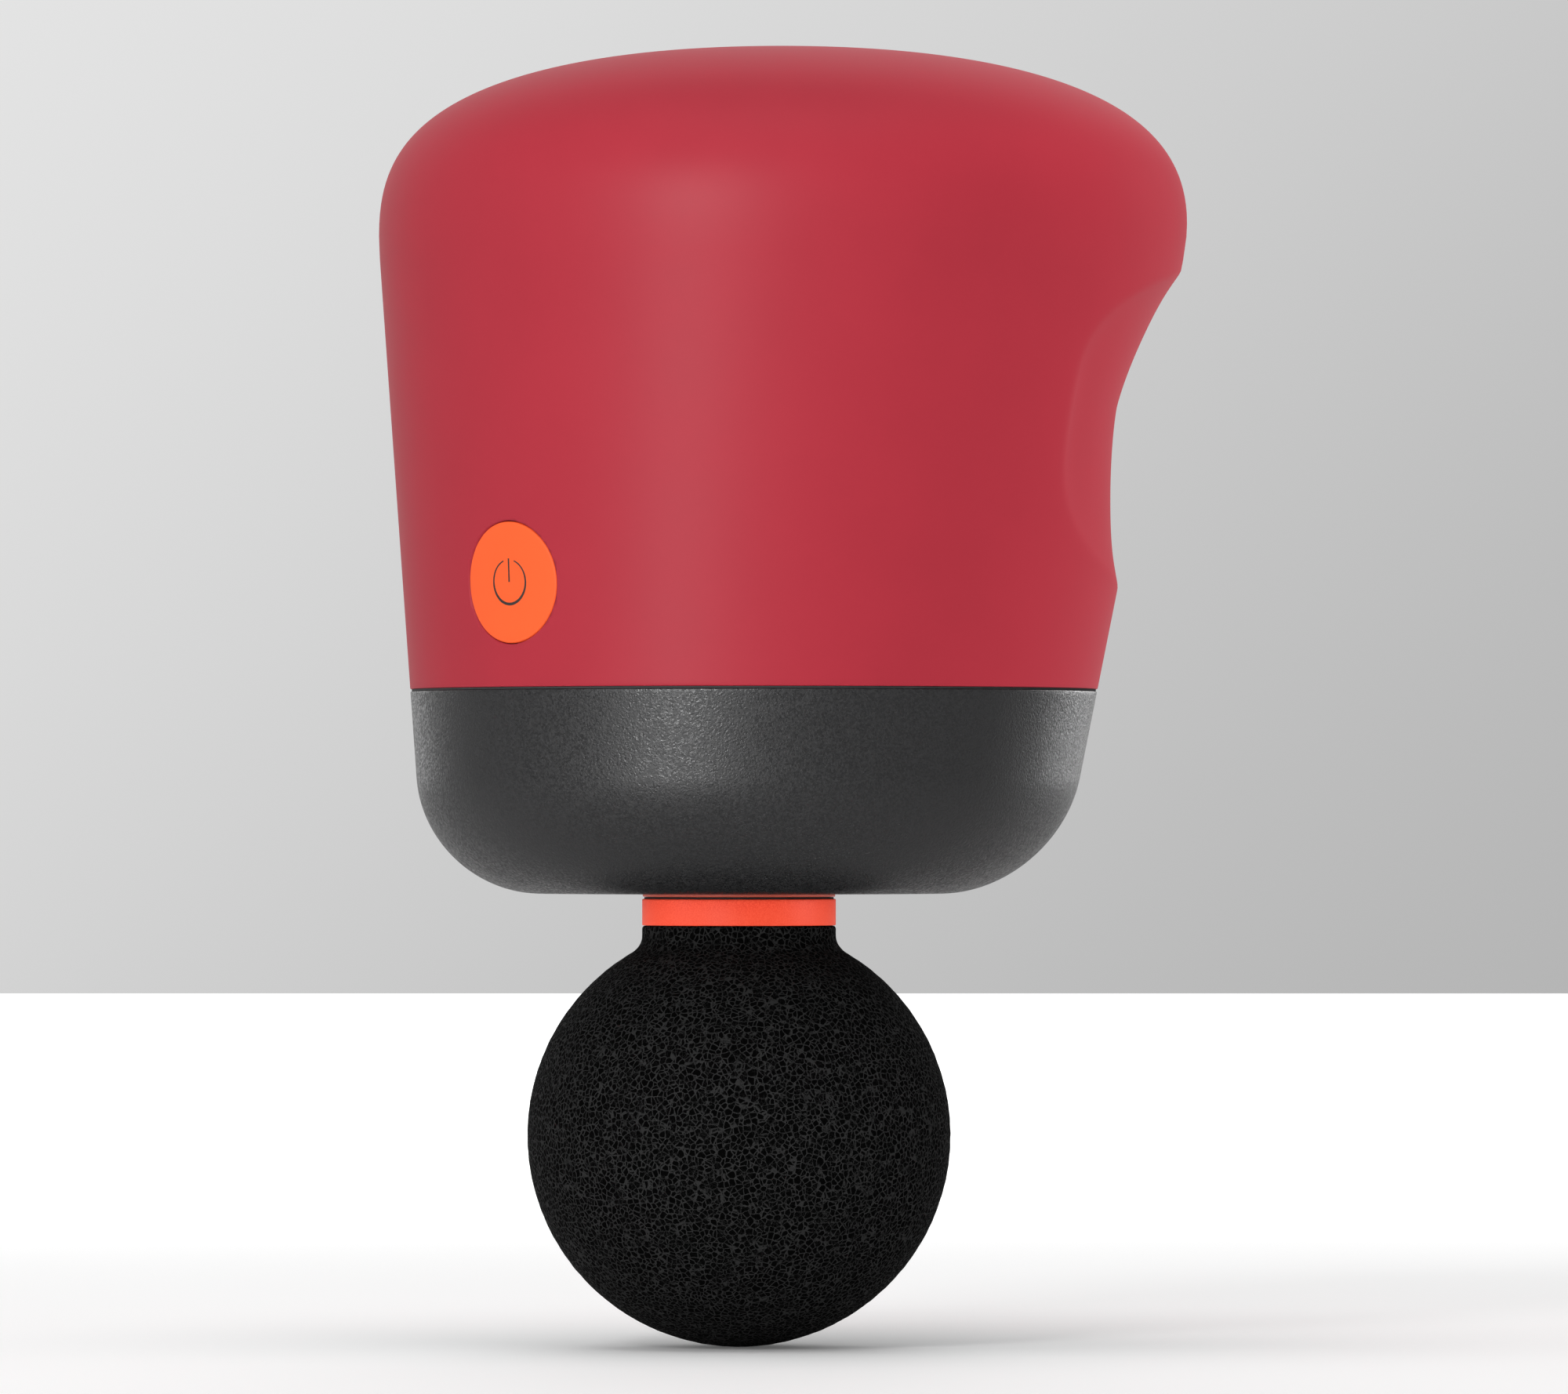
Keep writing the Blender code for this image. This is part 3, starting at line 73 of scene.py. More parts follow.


# ------------------------------------------------------------------ studio
# A white floor runs back to a plain grey wall that glows, with painted light making it paler at its upper
# left. The foam ball stands on the floor, so the floor goes down with the massage head. One strip of light
# at the left front gives the highlight, and plain soft boxes all round fill the rest.


class Value:
    """A value in a material's nodes, so that shader maths is written as plain arithmetic."""

    def __init__(self, tree, socket):
        self.tree = tree
        self.socket = socket

    def node(self, kind, settings, values, output=0):
        """Adds a node: its settings first, then the numbers or links of its sockets."""
        made = self.tree.nodes.new(kind)
        for key, setting in settings.items():
            if key == "stops":
                while len(made.color_ramp.elements) < len(setting):
                    made.color_ramp.elements.new(0.5)
                for element, (place, colour) in zip(made.color_ramp.elements, setting):
                    element.position = place
                    element.color = colour
            else:
                setattr(made, key, setting)
        for key, value in values.items():
            if isinstance(value, Value):
                self.tree.links.new(value.socket, made.inputs[key])
            elif value is not None:
                made.inputs[key].default_value = value
        return Value(self.tree, made.outputs[output])

    def math(self, operation, other=None):
        return self.node("ShaderNodeMath", {"operation": operation}, {0: self, 1: other})

    def __add__(self, other):
        return self.math("ADD", other)

    __radd__ = __add__

    def __sub__(self, other):
        return self.math("SUBTRACT", other)

    def __rsub__(self, other):
        return self.node("ShaderNodeMath", {"operation": "SUBTRACT"}, {0: other, 1: self})

    def __mul__(self, other):
        return self.math("MULTIPLY", other)

    __rmul__ = __mul__

    def __truediv__(self, other):
        return self.math("DIVIDE", other)

    def __pow__(self, other):
        return self.math("POWER", other)

    def __abs__(self):
        return self.math("ABSOLUTE")

    def vector(self, operation, other=None, third=None, output=0):
        settings = {"operation": operation}
        return self.node("ShaderNodeVectorMath", settings, {0: self, 1: other, 2: third}, output)

    def clamped(self, low, high):
        """0 below low, 1 above high, and a smooth step between."""
        settings = {"interpolation_type": "SMOOTHSTEP"}
        return self.node("ShaderNodeMapRange", settings, {"Value": self, "From Min": low, "From Max": high})

    def colours(self, first, second):
        """A colour mixed from first at 0 to second at 1."""
        return self.node("ShaderNodeMix", {"data_type": "RGBA"}, {0: self, 6: first, 7: second}, 2)

    def noise(self, size, detail=2.0, rough=0.5):
        """A cloudy pattern whose blotches are about size metres across."""
        values = {"Vector": self, "Scale": 1 / size, "Detail": detail, "Roughness": rough}
        return self.node("ShaderNodeTexNoise", {}, values)

    def cells(self, size, settings, output=0):
        """A pattern of rounded cells about size metres across."""
        return self.node("ShaderNodeTexVoronoi", settings, {"Vector": self, "Scale": 1 / size}, output)

    def axis(self, index):
        return self.node("ShaderNodeSeparateXYZ", {}, {0: self}, index)

    def bump(self, depth, strength=1.0):
        """A surface that stands depth metres higher where this value is 1 than where it is 0."""
        return self.node("ShaderNodeBump", {}, {"Height": self, "Distance": depth, "Strength": strength})


def linear(red, green, blue):
    """A screen colour of 0 to 255 as the renderer's own numbers."""
    shares = [channel / 255 for channel in (red, green, blue)]
    return (*[s / 12.92 if s <= 0.04045 else ((s + 0.055) / 1.055) ** 2.4 for s in shares], 1.0)


def start_material(name):
    """A new material, its shader node, and its Object coordinates."""
    made = bpy.data.materials.new(name)
    made.use_nodes = True
    tree = made.node_tree
    shader = tree.nodes["Principled BSDF"]
    coordinates = tree.nodes.new("ShaderNodeTexCoord")
    return made, shader, Value(tree, coordinates.outputs["Object"])


def feed(shader, socket, value):
    value.tree.links.new(value.socket, shader.inputs[socket])


def link_piece(name, shape, material, smooth=32):
    """Makes an object of a finished mesh, smooth but for its sharp corners."""
    mesh = bpy.data.meshes.new(name)
    shape.to_mesh(mesh)
    shape.free()
    mesh.polygons.foreach_set("use_smooth", [True] * len(mesh.polygons))
    mesh.set_sharp_from_angle(angle=math.radians(smooth))
    mesh.materials.append(material)
    made = bpy.data.objects.new(name, mesh)
    bpy.context.scene.collection.objects.link(made)
    return made


FLOOR_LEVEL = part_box("foam_ball")[0].z
FLOOR_SHINE = 0.06
FAR_SHINE = 0.6
STUDIO_HALF_WIDTH = 3.5
WALL_DISTANCE = 2.67
WALL_HALF_HEIGHT = 1.2

floor_shape = bmesh.new()
bmesh.ops.create_grid(floor_shape, x_segments=2, y_segments=2, size=1)
bmesh.ops.scale(floor_shape, vec=(STUDIO_HALF_WIDTH, WALL_DISTANCE, 1), verts=floor_shape.verts)
turn_to_view = Matrix.Rotation(VIEW_TURN, 4, "Z")
bmesh.ops.transform(floor_shape, matrix=turn_to_view, verts=floor_shape.verts)
bmesh.ops.translate(floor_shape, vec=(0, 0, FLOOR_LEVEL), verts=floor_shape.verts)

floor_material, floor_shader, floor_place = start_material("studio_floor_white")
floor_tree = floor_material.node_tree
floor_shader.inputs["Roughness"].default_value = 0.7
floor_shader.inputs["Specular IOR Level"].default_value = 0.1
light_path = floor_tree.nodes.new("ShaderNodeLightPath")
seen = Value(floor_tree, light_path.outputs["Is Camera Ray"])
dusty = floor_place.noise(0.4, 1).colours((0.78, 0.78, 0.78, 1), (0.82, 0.82, 0.82, 1))
feed(floor_shader, "Base Color", seen.colours(dusty, (0.97, 0.97, 0.97, 1)))
away = floor_place.vector("LENGTH", output=1)
glow = seen * (FLOOR_SHINE + away.clamped(0.15, 0.9) * FAR_SHINE)
shine = seen.node("ShaderNodeEmission", {}, {"Color": (1, 1, 1, 1), "Strength": glow})
both = seen.node("ShaderNodeAddShader", {}, {0: Value(floor_tree, floor_shader.outputs[0]), 1: shine})
floor_tree.links.new(both.socket, floor_tree.nodes["Material Output"].inputs["Surface"])
floor = link_piece("studio_floor", floor_shape, floor_material)
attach(floor, "massage_head")

wall_shape = bmesh.new()
bmesh.ops.create_grid(wall_shape, x_segments=2, y_segments=2, size=1)
bmesh.ops.scale(wall_shape, vec=(STUDIO_HALF_WIDTH, WALL_HALF_HEIGHT, 1), verts=wall_shape.verts)
bmesh.ops.rotate(wall_shape, matrix=Matrix.Rotation(math.pi / 2, 3, "X"), verts=wall_shape.verts)
wall_middle = (0, WALL_DISTANCE, FLOOR_LEVEL + WALL_HALF_HEIGHT)
bmesh.ops.translate(wall_shape, vec=wall_middle, verts=wall_shape.verts)
bmesh.ops.transform(wall_shape, matrix=turn_to_view, verts=wall_shape.verts)

wall_material, _, wall_place = start_material("studio_wall_grey")
wall_tree = wall_material.node_tree
across = wall_place.vector("DOT_PRODUCT", VIEW_RIGHT, output=1)
height = wall_place.axis(2)
# Painted light: the glowing wall is made paler towards its upper left, as if lit from there.
wall_light_falloff = (0.5 - across * 1.55 + (height - 0.085) * 1.7).clamped(-0.35, 1.35)
grey = wall_light_falloff.colours(linear(178, 178, 178), linear(230, 230, 230))
wall_glow = grey.node("ShaderNodeEmission", {}, {"Color": grey, "Strength": 1.0})
wall_tree.links.new(wall_glow.socket, wall_tree.nodes["Material Output"].inputs["Surface"])
wall = link_piece("studio_wall", wall_shape, wall_material)
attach(wall, "massage_head")

world = bpy.data.worlds.new("studio_air")
bpy.context.scene.world = world
world.use_nodes = True
air = world.node_tree.nodes["Background"]
air.inputs["Color"].default_value = (0.9, 0.9, 0.9, 1)
air.inputs["Strength"].default_value = 0.40


def soft_box(name, turn, rise, distance, wide, tall, level, shows="both"):
    """A rectangular lamp that faces the housing, turn degrees round from the camera's side. Level is
    what it adds to a white surface that faces it, and it may show in diffuse light or gloss alone."""
    lamp = bpy.data.objects.new(name, bpy.data.lights.new(name, "AREA"))
    bpy.context.scene.collection.objects.link(lamp)
    lamp.data.shape = "RECTANGLE"
    lamp.data.size = wide
    lamp.data.size_y = tall
    lamp.data.energy = level * math.pi**2 * distance**2
    lamp.visible_diffuse = shows != "gloss"
    lamp.visible_glossy = shows != "fill"
    angle = VIEW_TURN + math.radians(turn)
    lift = math.radians(rise)
    lamp.location = distance * Vector(
        (math.sin(angle) * math.cos(lift), -math.cos(angle) * math.cos(lift), math.sin(lift))
    )
    lamp.rotation_euler = (-lamp.location).to_track_quat("-Z", "Y").to_euler()
    return lamp


def light_only(lamp, *pieces):
    """Keeps a lamp's light to some pieces, as a studio's flags do."""
    reach = bpy.data.collections.new(lamp.name + "_reach")
    for piece in pieces:
        reach.objects.link(piece)
    lamp.light_linking.receiver_collection = reach


soft_box("key", -25, 30, 1.5, 0.3, 0.3, 0.18, "fill")
soft_box("low_front", -4, 2, 1.6, 1.2, 0.12, 0.40, "fill")
soft_box("left_fill", -95, 10, 1.5, 0.8, 0.8, 0.10, "fill")
soft_box("overhead", -20, 80, 1.3, 1.0, 1.0, 0.40, "fill")
soft_box("gloss_strip", -25, 10, 1.5, 0.28, 0.9, 1.8, "gloss")
soft_box("back_fill", 178, 28, 1.5, 0.9, 0.9, 0.20, "fill")
right_fill = soft_box("right_fill", 118, 10, 1.5, 0.6, 0.8, 0.9, "fill")
rim_right = soft_box("rim_right", 140, 2, 1.4, 0.5, 1.0, 0.95, "gloss")
rim_left = soft_box("rim_left", -150, 0, 1.5, 0.5, 1.0, 0.12, "gloss")
low_left = soft_box("low_left", -68, 1, 1.4, 0.6, 0.1, 0.34)
low_right = soft_box("low_right", 82, 1, 1.4, 0.6, 0.1, 0.42)
bpy.context.scene.view_settings.view_transform = "Standard"


# ------------------------------------------------------------------ upper housing
# The palm grip: one moulded shell of satin red plastic, a leaning cone with a flattened dome on
# top. A shallow finger groove wraps round its back, and a round hole at the front takes the
# button. It snaps over the base's tongue.

SEAM_RADIUS = 32.48 * MM
CONE_SLOPE = 0.137
CENTRE_SHIFT = 2.03 * MM
CENTRE_SLOPE = 0.0932
BODY_TOP = 60.9 * MM
DOME_FOOT = 40.8 * MM
DOME_SHOULDER = 3.27
DOME_CROWN = 2.23
DOME_BLEND = 2.86
BASE_DEPTH = 19.2 * MM
BASE_CORNER = 10.9 * MM
SHELL_WALL = 2.2 * MM
GROOVE_DEPTH = 5.6 * MM
GROOVE_HEIGHT = 26.6 * MM
GROOVE_UP = 13.7 * MM
GROOVE_DOWN = 17.7 * MM
GROOVE_PROFILE = 1.45
GROOVE_REACH = math.radians(86)
GROOVE_ENDS = 3.35
GROOVE_RIM = 0.25 * MM
GROOVE_BITE = 1.7
GROOVE_BITE_WIDTH = 0.7 * MM


def body_radius(height, inset=0):
    """Radius of the round body at a height, less a wall of inset."""
    if height > DOME_FOOT:
        rise = BODY_TOP - inset - DOME_FOOT
        part = min(1, (height - DOME_FOOT) / rise)
        foot = SEAM_RADIUS + CONE_SLOPE * DOME_FOOT - inset
        crown = foot * (1 - part**DOME_SHOULDER) ** (1 / DOME_CROWN)
        return crown + CONE_SLOPE * rise * part * (1 - part) ** DOME_BLEND
    radius = SEAM_RADIUS + CONE_SLOPE * height - inset
    corner_top = -BASE_DEPTH + BASE_CORNER
    if height < corner_top:
        drop = min(1, (corner_top - height) / BASE_CORNER)
        radius -= BASE_CORNER * (1 - math.sqrt(1 - drop**2))
    return radius


def body_centre(height):
    """How far behind the drive axis the round section is centred at a height."""
    if height > DOME_FOOT:
        rise = BODY_TOP - DOME_FOOT
        part = min(1, (height - DOME_FOOT) / rise)
        return body_centre(DOME_FOOT) + CENTRE_SLOPE * rise * part * (1 - part) ** 2
    return CENTRE_SHIFT + CENTRE_SLOPE * height


def surface_radius(angle, height, inset=0):
    """Radius of the skin with the finger groove scooped out and its rim rounded over."""
    body = body_radius(height, inset)
    reach = GROOVE_UP if height > GROOVE_HEIGHT else GROOVE_DOWN
    part = abs(height - GROOVE_HEIGHT) / reach
    if part >= 1:
        return body
    full = body_radius(height)
    depth = GROOVE_DEPTH * (1 - part**GROOVE_PROFILE)
    half = GROOVE_REACH * (1 - part**GROOVE_ENDS) ** (1 / GROOVE_ENDS)
    shift = (2 * full * depth - depth**2) / (2 * (full * (1 - math.cos(half)) - depth))
    circle = full - depth + shift
    inside = circle**2 - (shift * math.sin(angle)) ** 2
    groove = shift * math.cos(angle) + math.sqrt(max(inside, 0)) - inset
    sunk = max(0, body - groove)
    groove -= GROOVE_BITE * (1 - part**3) * sunk * math.exp(-sunk / GROOVE_BITE_WIDTH)
    rim = GROOVE_RIM * (1 - part**4)
    if groove > body + rim:
        return body
    blend = max(0, min(1, 0.5 + 0.5 * (groove - body) / rim))
    return groove * (1 - blend) + body * blend - rim * blend * (1 - blend)


def spun(profile, steps, axis="Z", centre=(0, 0, 0), closed=False):
    """A bmesh spun full circle from a chain of (radius, height) points."""
    shape = bmesh.new()
    chain = [shape.verts.new((radius, 0, height)) for radius, height in profile]
    pairs = list(zip(chain, chain[1:]))
    if closed:
        pairs.append((chain[-1], chain[0]))
    edges = [shape.edges.new(pair) for pair in pairs]
    bmesh.ops.spin(
        shape,
        geom=chain + edges,
        cent=(0, 0, 0),
        axis=(0, 0, 1),
        angle=2 * math.pi,
        steps=steps,
        use_merge=True,
    )
    bmesh.ops.remove_doubles(shape, verts=shape.verts, dist=1e-7)
    bmesh.ops.recalc_face_normals(shape, faces=shape.faces)
    if axis == "Y":
        bmesh.ops.rotate(shape, matrix=Matrix.Rotation(-math.pi / 2, 3, "X"), verts=shape.verts)
    bmesh.ops.translate(shape, vec=centre, verts=shape.verts)
    return shape


def follow_body(shape, grooved):
    """Moves a shape spun round the Z axis on to the leaning body, keeping each point's wall depth."""
    for point in shape.verts:
        radius = math.hypot(point.co.x, point.co.y)
        angle = math.atan2(point.co.x, -point.co.y)
        height = point.co.z
        if grooved:
            radius += surface_radius(angle, height) - body_radius(height)
        point.co.x = radius * math.sin(angle)
        point.co.y = body_centre(height) - radius * math.cos(angle)


def cut_with(piece, cutter):
    """Cuts the cutter's shape out of a piece for good."""
    change = piece.modifiers.new("cut", "BOOLEAN")
    change.object = cutter
    change.solver = "EXACT"
    graph = bpy.context.evaluated_depsgraph_get()
    mesh = bpy.data.meshes.new_from_object(piece.evaluated_get(graph))
    piece.modifiers.clear()
    piece.data = mesh
    bpy.data.objects.remove(cutter)


def front_surface(side, height):
    """The y of the front skin at a sideways distance and a height."""
    return body_centre(height) - math.sqrt(body_radius(height) ** 2 - side**2)


def join_shapes(shape, other):
    """Adds another shape to a shape, and merges the points where they meet."""
    mesh = bpy.data.meshes.new("joined")
    other.to_mesh(mesh)
    other.free()
    shape.from_mesh(mesh)
    bpy.data.meshes.remove(mesh)
    bmesh.ops.remove_doubles(shape, verts=shape.verts, dist=1e-7)


def moulded(name, colour, rough, grain=0.12 * MM, depth=0.004 * MM, mottle=0.06, coat=0.0, gloss=0.5):
    """Moulded plastic: an even colour with faint clouding, a fine grain, and a slightly uneven gloss."""
    made, shader, place = start_material(name)
    cloud = place.noise(9 * MM, 3)
    fine = place.noise(grain, 2, 0.6)
    low = tuple(channel * (1 - mottle) for channel in colour[:3]) + (1,)
    high = tuple(min(1, channel * (1 + mottle)) for channel in colour[:3]) + (1,)
    feed(shader, "Base Color", (cloud * 0.7 + fine * 0.3).clamped(0.3, 0.7).colours(low, high))
    feed(shader, "Roughness", rough - 0.05 + cloud * 0.06 + fine * 0.04)
    feed(shader, "Normal", (fine + cloud * 0.5).bump(depth))
    shader.inputs["Coat Weight"].default_value = coat
    shader.inputs["Specular IOR Level"].default_value = gloss
    return made


RED = linear(172, 48, 61)
red_plastic = moulded("red_satin_plastic", RED, 0.48, 0.25 * MM, 0.0012 * MM, 0.02, gloss=0.09)

VISIBLE_SEAM = 0.11 * MM
SEAM_EDGE = 0.12 * MM
LIP_WIDTH = 1.0 * MM
LIP_TOP = 1.2 * MM
WALL_ROWS = 120
INSIDE_ROWS = 24


def seam_corner(level, up):
    """The small round corner where a shell's skin turns in to its seam face, from skin to face."""
    chain = []
    for step in range(5):
        turn = math.pi / 2 * step / 4
        height = level + up * SEAM_EDGE * (1 - math.sin(turn))
        chain.append((body_radius(height) - SEAM_EDGE * (1 - math.cos(turn)), height))
    return chain


def dome_chain(rows, inset=0):
    """Points up the dome, from just above its foot to just short of its crown."""
    chain = []
    for row in range(1, rows):
        turn = math.pi / 2 * row / rows
        part = (1 - math.cos(turn) ** DOME_CROWN) ** (1 / DOME_SHOULDER)
        height = DOME_FOOT + (BODY_TOP - inset - DOME_FOOT) * part
        chain.append((body_radius(height, inset), height))
    return chain


skin = seam_corner(VISIBLE_SEAM, 1)[::-1]
skin_foot = VISIBLE_SEAM + SEAM_EDGE
for row in range(1, WALL_ROWS + 1):
    height = skin_foot + (DOME_FOOT - skin_foot) * row / WALL_ROWS
    skin.append((body_radius(height), height))
skin += [*dome_chain(60), (0, BODY_TOP)]
inside = [(0, BODY_TOP - SHELL_WALL), *dome_chain(12, SHELL_WALL)[::-1]]
for row in range(INSIDE_ROWS + 1):
    height = DOME_FOOT + (LIP_TOP - DOME_FOOT) * row / INSIDE_ROWS
    inside.append((body_radius(height, SHELL_WALL), height))
inside.append((body_radius(LIP_TOP) - LIP_WIDTH, LIP_TOP))
inside.append((body_radius(VISIBLE_SEAM) - LIP_WIDTH, VISIBLE_SEAM))
outer_shape = spun([inside[-1], *skin], 400)
join_shapes(outer_shape, spun(inside, 400))
follow_body(outer_shape, True)
bmesh.ops.recalc_face_normals(outer_shape, faces=outer_shape.faces)
upper_shell = link_piece("upper_shell", outer_shape, red_plastic, 40)

BUTTON_HEIGHT = 9.8 * MM
BUTTON_RADIUS = 5.65 * MM
BUTTON_GAP = 0.1 * MM
HOLE_DEPTH = 12 * MM
hole_shape = bmesh.new()
bmesh.ops.create_cone(
    hole_shape,
    cap_ends=True,
    segments=128,
    radius1=BUTTON_RADIUS + BUTTON_GAP,
    radius2=BUTTON_RADIUS + BUTTON_GAP,
    depth=HOLE_DEPTH,
)
bmesh.ops.rotate(hole_shape, matrix=Matrix.Rotation(math.pi / 2, 3, "X"), verts=hole_shape.verts)
button_front = front_surface(0, BUTTON_HEIGHT)
bmesh.ops.translate(hole_shape, vec=(0, button_front, BUTTON_HEIGHT), verts=hole_shape.verts)
cut_with(upper_shell, link_piece("button_hole", hole_shape, red_plastic))
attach(upper_shell, "housing")
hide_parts("upper_housing")
light_only(right_fill, upper_shell)


# ------------------------------------------------------------------ base housing
# The lower shell: dark grey plastic with a fine sparked grain, a broad round bottom edge and a
# flat underside with three screw recesses. Its tongue goes up inside the red shell, and a slot
# at the back takes the charging socket.


def sparked(name):
    """Dark plastic from a spark-eroded mould: pits about a fifth of a millimetre wide that glint."""
    made, shader, place = start_material(name)
    pits = place.noise(0.22 * MM, 2, 0.6)
    glint = place.cells(0.18 * MM, {"feature": "F1"}, 1).axis(0)
    tone = (pits * 0.6 + glint * 0.3).clamped(0.25, 0.65)
    feed(shader, "Base Color", tone.colours(linear(29, 29, 30), linear(41, 41, 42)))
    feed(shader, "Roughness", 0.27 + glint * 0.3 + place.noise(6 * MM, 2) * 0.04)
    feed(shader, "Normal", (pits + glint * 0.35).bump(0.045 * MM))
    shader.inputs["Specular IOR Level"].default_value = 0.34
    return made


grained_plastic = sparked("dark_sparked_plastic")
NOSE_OPENING = 9.4 * MM
OPENING_EDGE = 0.25 * MM
OPENING_DEPTH = 2.2 * MM
FLAT_RADIUS = 13 * MM
CORNER_ROWS = 48
SKIN_ROWS = 24
TONGUE_INSET = SHELL_WALL + 0.3 * MM
TONGUE_WALL = 1.2 * MM
TONGUE_TOP = 2.7 * MM
BEAD_LEVEL = 1.9 * MM
BEAD_HALF = 0.55 * MM
BEAD_PROUD = 0.35 * MM

corner_top = -BASE_DEPTH + BASE_CORNER
skin_top = -VISIBLE_SEAM - SEAM_EDGE
profile = [
    (NOSE_OPENING, -BASE_DEPTH + OPENING_DEPTH),
    (NOSE_OPENING, -BASE_DEPTH + OPENING_EDGE),
    (NOSE_OPENING + 0.08 * MM, -BASE_DEPTH + 0.07 * MM),
    (NOSE_OPENING + OPENING_EDGE, -BASE_DEPTH),
    (FLAT_RADIUS, -BASE_DEPTH),
]
for row in range(CORNER_ROWS + 1):
    turn = math.pi / 2 * (1 - row / CORNER_ROWS)
    height = corner_top - BASE_CORNER * math.sin(turn)
    profile.append((body_radius(height), height))
for row in range(1, SKIN_ROWS + 1):
    height = corner_top + (skin_top - corner_top) * row / SKIN_ROWS
    profile.append((body_radius(height), height))
profile += seam_corner(-VISIBLE_SEAM, -1)[1:]
profile.append((body_radius(0) - TONGUE_INSET, -VISIBLE_SEAM))
for level, proud in (
    (BEAD_LEVEL - BEAD_HALF, 0),
    (BEAD_LEVEL, BEAD_PROUD),
    (BEAD_LEVEL + BEAD_HALF, 0),
    (TONGUE_TOP, 0),
    (TONGUE_TOP, -TONGUE_WALL),
    (-3 * MM, -TONGUE_WALL),
    (-5 * MM, TONGUE_INSET - SHELL_WALL),
):
    profile.append((body_radius(level) - TONGUE_INSET + proud, level))
for row in range(1, 9):
    turn = math.pi / 2 * row / 8
    height = corner_top - (BASE_CORNER - SHELL_WALL) * math.sin(turn)
    across = SEAM_RADIUS + CONE_SLOPE * height - SHELL_WALL
    profile.append((across - (BASE_CORNER - SHELL_WALL) * (1 - math.cos(turn)), height))
base_shape = spun(profile, 360, closed=True)
follow_body(base_shape, False)
# The nose opening is centred on the drive axis, not on the leaning body.
for point in base_shape.verts:
    if math.hypot(point.co.x, point.co.y - body_centre(point.co.z)) < NOSE_OPENING + 0.3 * MM:
        point.co.y -= body_centre(point.co.z)
base_shell = link_piece("base_shell", base_shape, grained_plastic, 40)

shell_low, shell_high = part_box("charge_port_shell")
PORT_LEVEL = (shell_low.z + shell_high.z) / 2


def oval_prism(half_wide, half_tall, corner, start, end):
    """A flat-sided oval bar along Y, made of a cube with its long edges rounded."""
    shape = bmesh.new()
    bmesh.ops.create_cube(shape, size=1)
    bmesh.ops.scale(shape, vec=(2 * half_wide, end - start, 2 * half_tall), verts=shape.verts)
    long_edges = [e for e in shape.edges if abs((e.verts[0].co - e.verts[1].co).y) > (end - start) / 2]
    bmesh.ops.bevel(
        shape,
        geom=long_edges,
        offset=corner,
        segments=12,
        profile=0.5,
        affect="EDGES",
        material=-1,
    )
    bmesh.ops.translate(shape, vec=(0, (start + end) / 2, PORT_LEVEL), verts=shape.verts)
    return shape


port_back = body_centre(PORT_LEVEL) + body_radius(PORT_LEVEL)
slot_shape = oval_prism(4.72 * MM, 1.88 * MM, 1.86 * MM, port_back - 4 * MM, port_back + 4 * MM)
cut_with(base_shell, link_piece("port_slot", slot_shape, grained_plastic))

SCREW_CIRCLE = 14.5 * MM
RECESS_RADIUS = 2.8 * MM
RECESS_DEPTH = 1.3 * MM
screw_places = [
    (SCREW_CIRCLE * math.cos(turn), SCREW_CIRCLE * math.sin(turn))
    for turn in (math.pi / 2 + 2 * math.pi * number / 3 for number in range(3))
]
for x, y in screw_places:
    wall = [(RECESS_RADIUS, -RECESS_DEPTH), (RECESS_RADIUS, RECESS_DEPTH)]
    recess = spun([(0, -RECESS_DEPTH), *wall, (0, RECESS_DEPTH)], 64)
    bmesh.ops.translate(recess, vec=(x, y, -BASE_DEPTH), verts=recess.verts)
    cut_with(base_shell, link_piece("screw_recess", recess, grained_plastic))
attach(base_shell, "housing")
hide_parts("base_housing")
light_only(rim_left, base_shell)
light_only(rim_right, base_shell)


# ------------------------------------------------------------------ seam gasket
# A soft black ring seated in the step between the two shells. It keeps dust out, and shows only
# as the dark line of the parting seam.


def rubbery(name, colour, rough=0.75):
    """Soft rubber: matt, very slightly dusty, with a fine moulded tooth."""
    made, shader, place = start_material(name)
    dust = place.noise(1.2 * MM, 3)
    tooth = place.noise(0.08 * MM, 2)
    pale = tuple(channel + 0.012 for channel in colour[:3]) + (1,)
    feed(shader, "Base Color", dust.clamped(0.35, 0.8).colours(colour, pale))
    feed(shader, "Roughness", rough + dust * 0.15)
    feed(shader, "Normal", tooth.bump(0.006 * MM, 0.8))
    return made


black_rubber = rubbery("black_seal_rubber", (0.012, 0.012, 0.013, 1))


def refinish(material, *nodes):
    """Gives CAD pieces that keep their shape their real finish."""
    for name in nodes:
        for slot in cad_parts[name].material_slots:
            slot.material = material


SEAL_HALF = 0.085 * MM
SEAL_TOP = 0.15 * MM
body_edge = body_radius(0)
gasket_profile = [
    (body_edge - 2.1 * MM, SEAL_TOP),
    (body_edge - 2.1 * MM, -SEAL_HALF),
    (body_edge - 0.14 * MM, -SEAL_HALF),
    (body_edge - 0.14 * MM, SEAL_HALF),
    (body_edge - 1.35 * MM, SEAL_HALF),
    (body_edge - 1.35 * MM, SEAL_TOP),
]
gasket_shape = spun(gasket_profile, 360, closed=True)
follow_body(gasket_shape, False)
gasket = link_piece("seam_seal", gasket_shape, black_rubber)
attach(gasket, "housing")
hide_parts("seam_gasket")
refinish(black_rubber, "wiper_seal", "rubber_mount_1", "rubber_mount_2", "rubber_mount_3")


# ------------------------------------------------------------------ power button
# A round orange cap, flush with the red shell and curved like it, with a sign printed in black:
# an open ring and a stroke. It presses straight in against a small switch.

